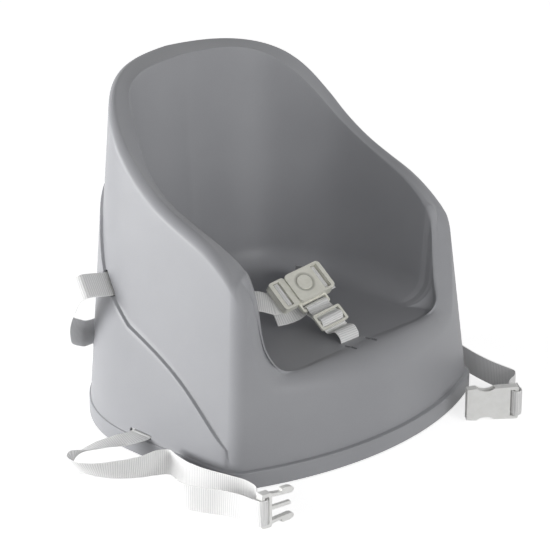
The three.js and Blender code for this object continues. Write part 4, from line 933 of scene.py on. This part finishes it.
for side in (1, -1):
    for x, y in FEET:
        bosses.append(prism([side * x, y, BOSS_Z], X_WAY, Y_WAY, Z_WAY, *BOSS))
        cutters.append(prism([side * x, y, POCKET_Z], X_WAY, Y_WAY, Z_WAY, *POCKET))
    places = np.array([SLOT_OUTWARD, SLOT_WEB, SLOT_DOWNWARD, SLOT_MIDDLE])
    out, along, across, middle = places * [side, 1, 1]
    slot(middle - BACK_SLOT_RISE * across, unit(along), unit(across), unit(out), BACK_SLOT)
    slot([side * BASE_CUT_X, BASE_SLOT_Y, BASE_CUT_Z], Y_WAY, Z_WAY, X_WAY, BASE_SLOT)
    slot([side * BELT_SLOT_X, BELT_SLOT_Y, FLOOR_HEIGHT], Y_WAY, X_WAY, Z_WAY, FLOOR_SLOT)
    slot([side * SLIT_X, SLIT_Y, FLOOR_HEIGHT], Y_WAY, X_WAY, Z_WAY, FRONT_SLIT)
slot([0, CROTCH_SLOT_Y, FLOOR_HEIGHT], X_WAY, Y_WAY, Z_WAY, FLOOR_SLOT)
combine(shell, joined("bosses", bosses), "UNION")
combine(shell, joined("cutters", cutters), "DIFFERENCE")
shell.data.shade_smooth()
shell.data.set_sharp_from_angle(angle=SHELL_SHARP)
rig.replaces(shell, "seat_shell")
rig.slot(shell, "shell")
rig.ride(shell, "seat")
print("shell faces:", len(shell.data.polygons))

# %% [markdown]
# The button's return spring is a wire wound as a helix. When the button goes in, the real wire's turns come
# closer. The squash call does the same to this piece.

# %% Button spring
SPRING_RADIUS, SPRING_WIRE, SPRING_TURNS, STEPS_A_TURN = 1.5, 0.25, 4, 36
SPRING_BOTTOM, SPRING_TOP, BUTTON_TRAVEL = -1.3, 3.5, 2.0
steps = SPRING_TURNS * STEPS_A_TURN
angle = np.linspace(0, 2 * np.pi * SPRING_TURNS, steps + 1)
height = np.linspace(SPRING_BOTTOM + SPRING_WIRE, SPRING_TOP - SPRING_WIRE, steps + 1)
outwards = np.cos(angle)[:, None] * lap_way + np.sin(angle)[:, None] * up_way
middle = BUCKLE_PLACE + SPRING_RADIUS * outwards + height[:, None] * face
turn_way = unit(np.gradient(middle, axis=0))
sideways = np.cross(turn_way, outwards)
around = np.linspace(0, 2 * np.pi, 10, endpoint=False)[:, None]
section = np.cos(around) * outwards[:, None] + np.sin(around) * sideways[:, None]
rings = middle[:, None] + SPRING_WIRE * section
spring = grid_object("return_spring", rings, middle[0], middle[-1])
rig.replaces(spring, "button_spring")
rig.slot(spring, "spring_wire")
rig.ride(spring, "seat")
spring_length = SPRING_TOP - SPRING_BOTTOM
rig.squash(
    spring, "button_press", axis=face.tolist(), anchor=(in_buckle(0, 0, SPRING_BOTTOM) * MM).tolist(),
    keep=(spring_length - BUTTON_TRAVEL) / spring_length,
)
print("spring length in mm:", spring_length)

# %% [markdown]
# ## Edges of the moulded small parts
# The buckles, the slide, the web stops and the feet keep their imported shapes. A moulding has small rounds on
# its edges, which catch the light. So a Weld modifier joins each piece's triangles, and a Bevel modifier
# rounds its sharp edges. Normals weighted by area keep large faces flat, and shallow forms still show.

# %% Rounded edges
EDGE_ROUND = {
    "buckle_front_cover": 0.9, "buckle_back_cover": 0.7, "tongue": 0.8, "release_button": 0.35,
    "crotch_slide": 0.5, "base_buckle_male": 0.7, "base_buckle_female": 0.8, "back_buckle_male": 0.7,
    "back_buckle_female": 0.8,
}
OTHER_ROUND, WELD_DISTANCE, BEVEL_STEPS = 0.4, 0.00001, 3
SMOOTH_BELOW, BEVEL_ABOVE = np.radians([32, 40])
smooth_group = bpy.data.node_groups.new("smooth faces", "GeometryNodeTree")
for way in ("INPUT", "OUTPUT"):
    smooth_group.interface.new_socket("Geometry", in_out=way, socket_type="NodeSocketGeometry")
add, join = smooth_group.nodes.new, smooth_group.links.new
group_in, group_out = add("NodeGroupInput"), add("NodeGroupOutput")
angle_node, compare = add("GeometryNodeInputMeshEdgeAngle"), add("FunctionNodeCompare")
compare.operation = "LESS_THAN"
compare.inputs["B"].default_value = SMOOTH_BELOW
all_smooth, edges_smooth = add("GeometryNodeSetShadeSmooth"), add("GeometryNodeSetShadeSmooth")
edges_smooth.domain = "EDGE"
join(group_in.outputs[0], all_smooth.inputs["Geometry"])
join(all_smooth.outputs[0], edges_smooth.inputs["Geometry"])
join(angle_node.outputs["Unsigned Angle"], compare.inputs["A"])
join(compare.outputs[0], edges_smooth.inputs["Shade Smooth"])
join(edges_smooth.outputs[0], group_out.inputs[0])

small_parts = [
    name for name, node in frame["nodes"].items()
    if not node.hide_render and not name.startswith(("seat_shell", "button_spring"))
]
for name in small_parts:
    node = frame["nodes"][name]
    node.modifiers.new("weld", "WELD").merge_threshold = WELD_DISTANCE
    bevel = node.modifiers.new("edge round", "BEVEL")
    bevel.width = EDGE_ROUND.get(name, OTHER_ROUND) * MM
    bevel.segments, bevel.limit_method, bevel.angle_limit = BEVEL_STEPS, "ANGLE", BEVEL_ABOVE
    node.modifiers.new("smooth", "NODES").node_group = smooth_group
    node.modifiers.new("flat faces stay flat", "WEIGHTED_NORMAL").keep_sharp = True
print("small parts:", len(small_parts))

# %% [markdown]
# ## Finishes
# A material is a graph of nodes. One small class wraps a socket, so that adding or multiplying two of them
# makes the Math node that does it. Every pattern is worked out from the piece's own coordinates in metres,
# or from the distances along and across a strap.


# %% Material helper
class Wave:
    """A socket of a material's node tree that can be used in a formula."""

    def __init__(self, tree, socket):
        self.tree, self.socket = tree, socket

    def node(self, kind, output=0, settings=None, **inputs):
        """Adds a node, sets its properties and links or fills its inputs, and gives one of its outputs."""
        made = self.tree.nodes.new(kind)
        for key, value in (settings or {}).items():
            setattr(made, key, value)
        for key, value in inputs.items():
            place = int(key[1:]) if key[0] == "i" and key[1:].isdigit() else key.replace("_", " ")
            if isinstance(value, Wave):
                self.tree.links.new(value.socket, made.inputs[place])
            else:
                made.inputs[place].default_value = value
        return Wave(self.tree, made.outputs[output])

    def math(self, operation, *values):
        inputs = {f"i{place}": value for place, value in enumerate(values)}
        return self.node("ShaderNodeMath", 0, {"operation": operation}, **inputs)

    def __add__(self, other):
        return self.math("ADD", self, other)

    __radd__ = __add__

    def __sub__(self, other):
        return self.math("SUBTRACT", self, other)

    def __rsub__(self, other):
        return self.math("SUBTRACT", other, self)

    def __mul__(self, other):
        return self.math("MULTIPLY", self, other)

    def vector_math(self, operation, output=0, **inputs):
        return self.node("ShaderNodeVectorMath", output, {"operation": operation}, **inputs)

    def sine(self):
        return self.math("SINE", self)

    def step(self, low, high):
        """0 below low and 1 above high, with a smooth rise."""
        return self.node(
            "ShaderNodeMapRange", 0, {"interpolation_type": "SMOOTHSTEP"},
            Value=self, From_Min=low, From_Max=high,
        )

    def noise(self, scale, detail=2.0):
        """Noise with `scale` lumps a metre."""
        return self.node("ShaderNodeTexNoise", Vector=self, Scale=scale, Detail=detail)

    def blend_colours(self, first, second):
        """A colour between two colours, by this value."""
        return self.node(
            "ShaderNodeMix", 2, {"data_type": "RGBA"}, i0=self, i6=(*first, 1.0), i7=(*second, 1.0),
        )


def new_finish(name):
    """A material with a Principled shader. Gives the material, its coordinates and its shader."""
    made = bpy.data.materials.new(name)
    made.use_nodes = True
    shader = made.node_tree.nodes["Principled BSDF"]
    coordinates = made.node_tree.nodes.new("ShaderNodeTexCoord")
    return made, Wave(made.node_tree, coordinates.outputs["Object"]), shader


def dress(pieces, finish):
    for piece in pieces:
        piece.data.materials.clear()
        piece.data.materials.append(finish)


def set_inputs(shader, where, colour, roughness, height, depth, specular=0.5):
    """Links colour, roughness and a bump of the given depth in metres to the shader."""
    shader.inputs["Specular IOR Level"].default_value = specular
    links = where.tree.links.new
    links(colour.socket, shader.inputs["Base Color"])
    links(roughness.socket, shader.inputs["Roughness"])
    bump = where.node("ShaderNodeBump", Height=height, Distance=depth, Strength=1.0)
    links(bump.socket, shader.inputs["Normal"])


# %% [markdown]
# The shell is matt grey plastic with the fine even grain of a spark-eroded mould. Handling polishes it in
# patches, so the roughness drifts, and long faint scuffs cross it.

# %% Shell plastic
SHELL_DARK, SHELL_LIGHT = (0.312, 0.316, 0.334), (0.348, 0.352, 0.370)
shell_plastic, where, shader = new_finish("matt grey plastic")
grain = where.noise(1500.0)
patches = where.noise(9.0, 3.0)
scuff_way = where.node("ShaderNodeMapping", Vector=where, Scale=(40.0, 260.0, 90.0))
scuffs = scuff_way.noise(1.0, 4.0).step(0.62, 0.75)
shade = patches * 0.7 + grain * 0.3
colour = shade.step(0.3, 0.7).blend_colours(SHELL_DARK, SHELL_LIGHT)
roughness = 0.36 + patches * 0.16 + scuffs * 0.05
set_inputs(shader, where, colour, roughness, grain - scuffs * 0.15, depth=0.00005, specular=0.45)
dress([shell], shell_plastic)

# %% [markdown]
# The webbing is woven polyester. Its cross threads show as ribs, two millimetres apart. The long threads cut
# them into stitches that lean one way on one rib and the other way on the next, and both edges are bound.

# %% Webbing's finish
RIB_PITCH, STITCH_PITCH, STITCH_LEAN = 2.05, 1.15, 3.2
WEB_DARK, WEB_LIGHT = (0.70, 0.70, 0.70), (0.92, 0.92, 0.915)
webbing, where, shader = new_finish("ribbed webbing")
along, across = [
    where.node("ShaderNodeAttribute", "Fac", {"attribute_name": name}) for name in ("along", "across")
]
across_mm, along_mm = across * (WEBBING_WIDTH / 2), along * 1000.0
rib_phase = along_mm * (2 * np.pi / RIB_PITCH)
rib = rib_phase.sine() * 0.5 + 0.5
lean = (rib_phase * 0.5).sine() * STITCH_LEAN
stitch = (across_mm * (2 * np.pi / STITCH_PITCH) + lean).sine() * 0.5 + 0.5
fibres = where.noise(2600.0)
grime = where.noise(30.0, 3.0).step(0.45, 0.8)
selvage = across.math("ABSOLUTE", across).step(0.90, 0.96)
height = rib * 0.62 + stitch * 0.25 + fibres * 0.13 + selvage * 0.3
# Painted shade and highlight: the colour follows the weave's height, darker in the valleys between ribs and stitches
# and lighter on the rib tops and bound edges. grime adds random patches of dirt.
colour = (height - grime * 0.12).step(0.05, 0.62).blend_colours(WEB_DARK, WEB_LIGHT)
set_inputs(shader, where, colour, 0.78 + fibres * 0.15, height, depth=0.00028, specular=0.25)
shader.inputs["Sheen Weight"].default_value = 0.15
dress(straps.values(), webbing)

# %% [markdown]
# The buckles are acetal: off-white, smooth and slightly waxy, with a fine flow texture and small scratches.
# The harness buckle is a warmer white than the tying straps' buckles.

# %% Buckle plastic
WARM_DARK, WARM_LIGHT = (0.80, 0.795, 0.71), (0.87, 0.865, 0.785)
COOL_DARK, COOL_LIGHT = (0.86, 0.86, 0.84), (0.91, 0.91, 0.895)
# How far the painted shade in the button's dish darkens the colour.
DISH_SHADE_DARKENS = 0.4


def buckle_plastic(name, dark, light, dish=None):
    """Acetal. dish is the middle and the axis of a round dish, with a ring of painted shade 8 to 11 mm
    from the axis, where the dish's recess would be in shade. That distance is the length of the cross
    product of the way from the middle and the axis."""
    made, where, shader = new_finish(name)
    flow = where.noise(160.0, 3.0)
    grain = where.noise(1900.0)
    scratch_way = where.node("ShaderNodeMapping", Vector=where, Scale=(300.0, 1800.0, 700.0))
    scratches = scratch_way.noise(1.0, 3.0).step(0.64, 0.72)
    colour = (flow * 0.8 + grain * 0.2).step(0.3, 0.7).blend_colours(dark, light)
    if dish is not None:
        way = where.vector_math("SUBTRACT", i0=where, i1=dish[0])
        across_axis = where.vector_math("CROSS_PRODUCT", i0=way, i1=dish[1])
        radius = where.vector_math("LENGTH", "Value", i0=across_axis) * 1000.0
        # Painted shade: the ring round the button is darkened in colour, standing in for the shade inside the dish.
        dish_shade = radius.step(7.4, 8.2) * (1.0 - radius.step(8.8, 11.4))
        colour = where.vector_math("SCALE", Vector=colour, Scale=1.0 - dish_shade * DISH_SHADE_DARKENS)
    roughness = 0.32 + flow * 0.12 + scratches * 0.15
    set_inputs(shader, where, colour, roughness, grain - scratches * 0.5, depth=0.00002)
    return made


harness_plastic = buckle_plastic("warm white plastic", WARM_DARK, WARM_LIGHT)
front_cover = frame["nodes"]["buckle_front_cover"]
into_cover = front_cover.matrix_world.inverted()
dish = [into_cover @ Vector(in_buckle(0, 0, 0) * MM), (into_cover.to_3x3() @ Vector(face)).normalized()]
cover_plastic = buckle_plastic("warm white plastic, dished", WARM_DARK, WARM_LIGHT, dish)
tie_plastic = buckle_plastic("cool white plastic", COOL_DARK, COOL_LIGHT)
print("middle and axis of the dish:", *dish)

# %% [markdown]
# The feet are soft rubber with a dusty bloom. The spring is drawn steel wire, with lines along it.

# %% Rubber and steel
RUBBER_DARK, RUBBER_LIGHT = (0.075, 0.078, 0.082), (0.12, 0.124, 0.13)
STEEL_DARK, STEEL_LIGHT = (0.52, 0.52, 0.53), (0.66, 0.66, 0.67)
rubber, where, shader = new_finish("foot rubber")
bloom = where.noise(55.0, 4.0)
pits = where.noise(1200.0)
colour = (bloom * 0.8 + pits * 0.2).step(0.35, 0.7).blend_colours(RUBBER_DARK, RUBBER_LIGHT)
set_inputs(shader, where, colour, 0.8 + bloom * 0.15, pits, depth=0.00006)

steel, where, shader = new_finish("spring steel")
drawn = where.noise(5200.0)
colour = drawn.step(0.3, 0.7).blend_colours(STEEL_DARK, STEEL_LIGHT)
set_inputs(shader, where, colour, 0.24 + drawn * 0.15, drawn, depth=0.00001)
shader.inputs["Metallic"].default_value = 1.0

FINISHES = {"foot": rubber, "harness_buckle": harness_plastic, "tie_buckle": tie_plastic}
slot_of = {part["node"]: part["material_slot"] for part in frame["record"]["subparts"]}
for name in small_parts:
    node = frame["nodes"][name]
    dress([node], cover_plastic if node is front_cover else FINISHES[slot_of[name]])
dress([spring], steel)
print("finishes:", len(bpy.data.materials))

# %% [markdown]
# ## Floor and light
# The floor of the studio is a wide white surface. For camera, glossy and transmission rays it adds a little
# of its own light, which takes it to the white of the background and still leaves the seat's shadow.

# %% Floor
FLOOR_REACH, FLOOR_POINTS = 9000.0, 13
FLOOR_DARK, FLOOR_LIGHT, FLOOR_GLOW = (0.84,) * 3, (0.86,) * 3, 0.70
steps = np.linspace(-FLOOR_REACH, FLOOR_REACH, FLOOR_POINTS)
floor_x, floor_y = np.meshgrid(steps, steps)
floor_points = np.stack([floor_x, floor_y, np.zeros_like(floor_x)], -1).reshape(-1, 3) * MM
corner = np.arange(FLOOR_POINTS - 1)[:, None] * FLOOR_POINTS + np.arange(FLOOR_POINTS - 1)
floor_faces = np.stack([corner, corner + 1, corner + FLOOR_POINTS + 1, corner + FLOOR_POINTS], -1)
floor_mesh = bpy.data.meshes.new("floor")
floor_mesh.from_pydata(floor_points.tolist(), [], floor_faces.reshape(-1, 4).tolist())
floor = placed("floor", floor_mesh)
floor_paint, where, shader = new_finish("white floor")
cloud = where.noise(1.5)
colour = cloud.step(0.3, 0.7).blend_colours(FLOOR_DARK, FLOOR_LIGHT)
set_inputs(shader, where, colour, 0.85 + cloud * 0.1, cloud, depth=0.00001, specular=0.0)


def seen_directly(tree):
    """1 for camera, glossy and transmission rays, and 0 for the rays that carry light to matt surfaces."""
    rays = tree.nodes.new("ShaderNodeLightPath").outputs
    seen, glossy, through = [Wave(tree, rays[f"Is {k} Ray"]) for k in ("Camera", "Glossy", "Transmission")]
    return seen.math("MINIMUM", seen + glossy + through, 1.0)


glow = seen_directly(floor_paint.node_tree).blend_colours((0, 0, 0), (1, 1, 1))
floor_paint.node_tree.links.new(glow.socket, shader.inputs["Emission Color"])
shader.inputs["Emission Strength"].default_value = FLOOR_GLOW
floor_mesh.materials.append(floor_paint)
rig.stage(floor)

# %% [markdown]
# White walls fill the shadows, under a ceiling that is nearly dark: the world's light depends on the height
# of a ray's direction. A long soft box stands low at the left behind the seat, and a weaker one in front.

# %% Light
WALL_LIGHT, CEILING_LIGHT = 0.98, 0.05
CEILING_FROM, CEILING_TO = 0.25, 0.75
LAMP_WIDTH, LAMP_HEIGHT, LAMP_AIM = 1.6, 0.7, Vector((0, 0, 0.15))
world = bpy.data.worlds.new("studio")
scene.world = world
world.use_nodes = True
tree = world.node_tree
tree.nodes.clear()
direction = Wave(tree, tree.nodes.new("ShaderNodeTexCoord").outputs["Generated"])
height = direction.node("ShaderNodeSeparateXYZ", "Z", Vector=direction)


def background(strength):
    return direction.node("ShaderNodeBackground", Color=(1, 1, 1, 1), Strength=strength)


def mixed(factor, first, second):
    return factor.node("ShaderNodeMixShader", i0=factor, i1=first, i2=second)


room = mixed(height.step(CEILING_FROM, CEILING_TO), background(WALL_LIGHT), background(CEILING_LIGHT))
studio = mixed(seen_directly(tree), room, background(1.0))
output = tree.nodes.new("ShaderNodeOutputWorld")
tree.links.new(studio.socket, output.inputs["Surface"])


def soft_box(name, place, power):
    """A rectangular area light of some watts at a place, turned towards the seat."""
    data = bpy.data.lights.new(name, "AREA")
    data.shape, data.size, data.size_y, data.energy = "RECTANGLE", LAMP_WIDTH, LAMP_HEIGHT, power
    lamp = placed(name, data)
    lamp.location = place
    lamp.rotation_euler = (Vector(place) - LAMP_AIM).to_track_quat("Z", "Y").to_euler()


soft_box("key", (-1.95, 1.45, 0.40), 54)
soft_box("front", (-0.2, -2.3, 1.00), 14)
print("lights:", len(bpy.data.lights))

# %% Sizes and end
visual_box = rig.bounds()
sizes = {
    "cad": [list(map(float, corner)) for corner in cad_box],
    "visual": [list(map(float, corner)) for corner in visual_box],
}
json.dump(sizes, open("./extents.json", "w"))
print("sizes:", sizes)
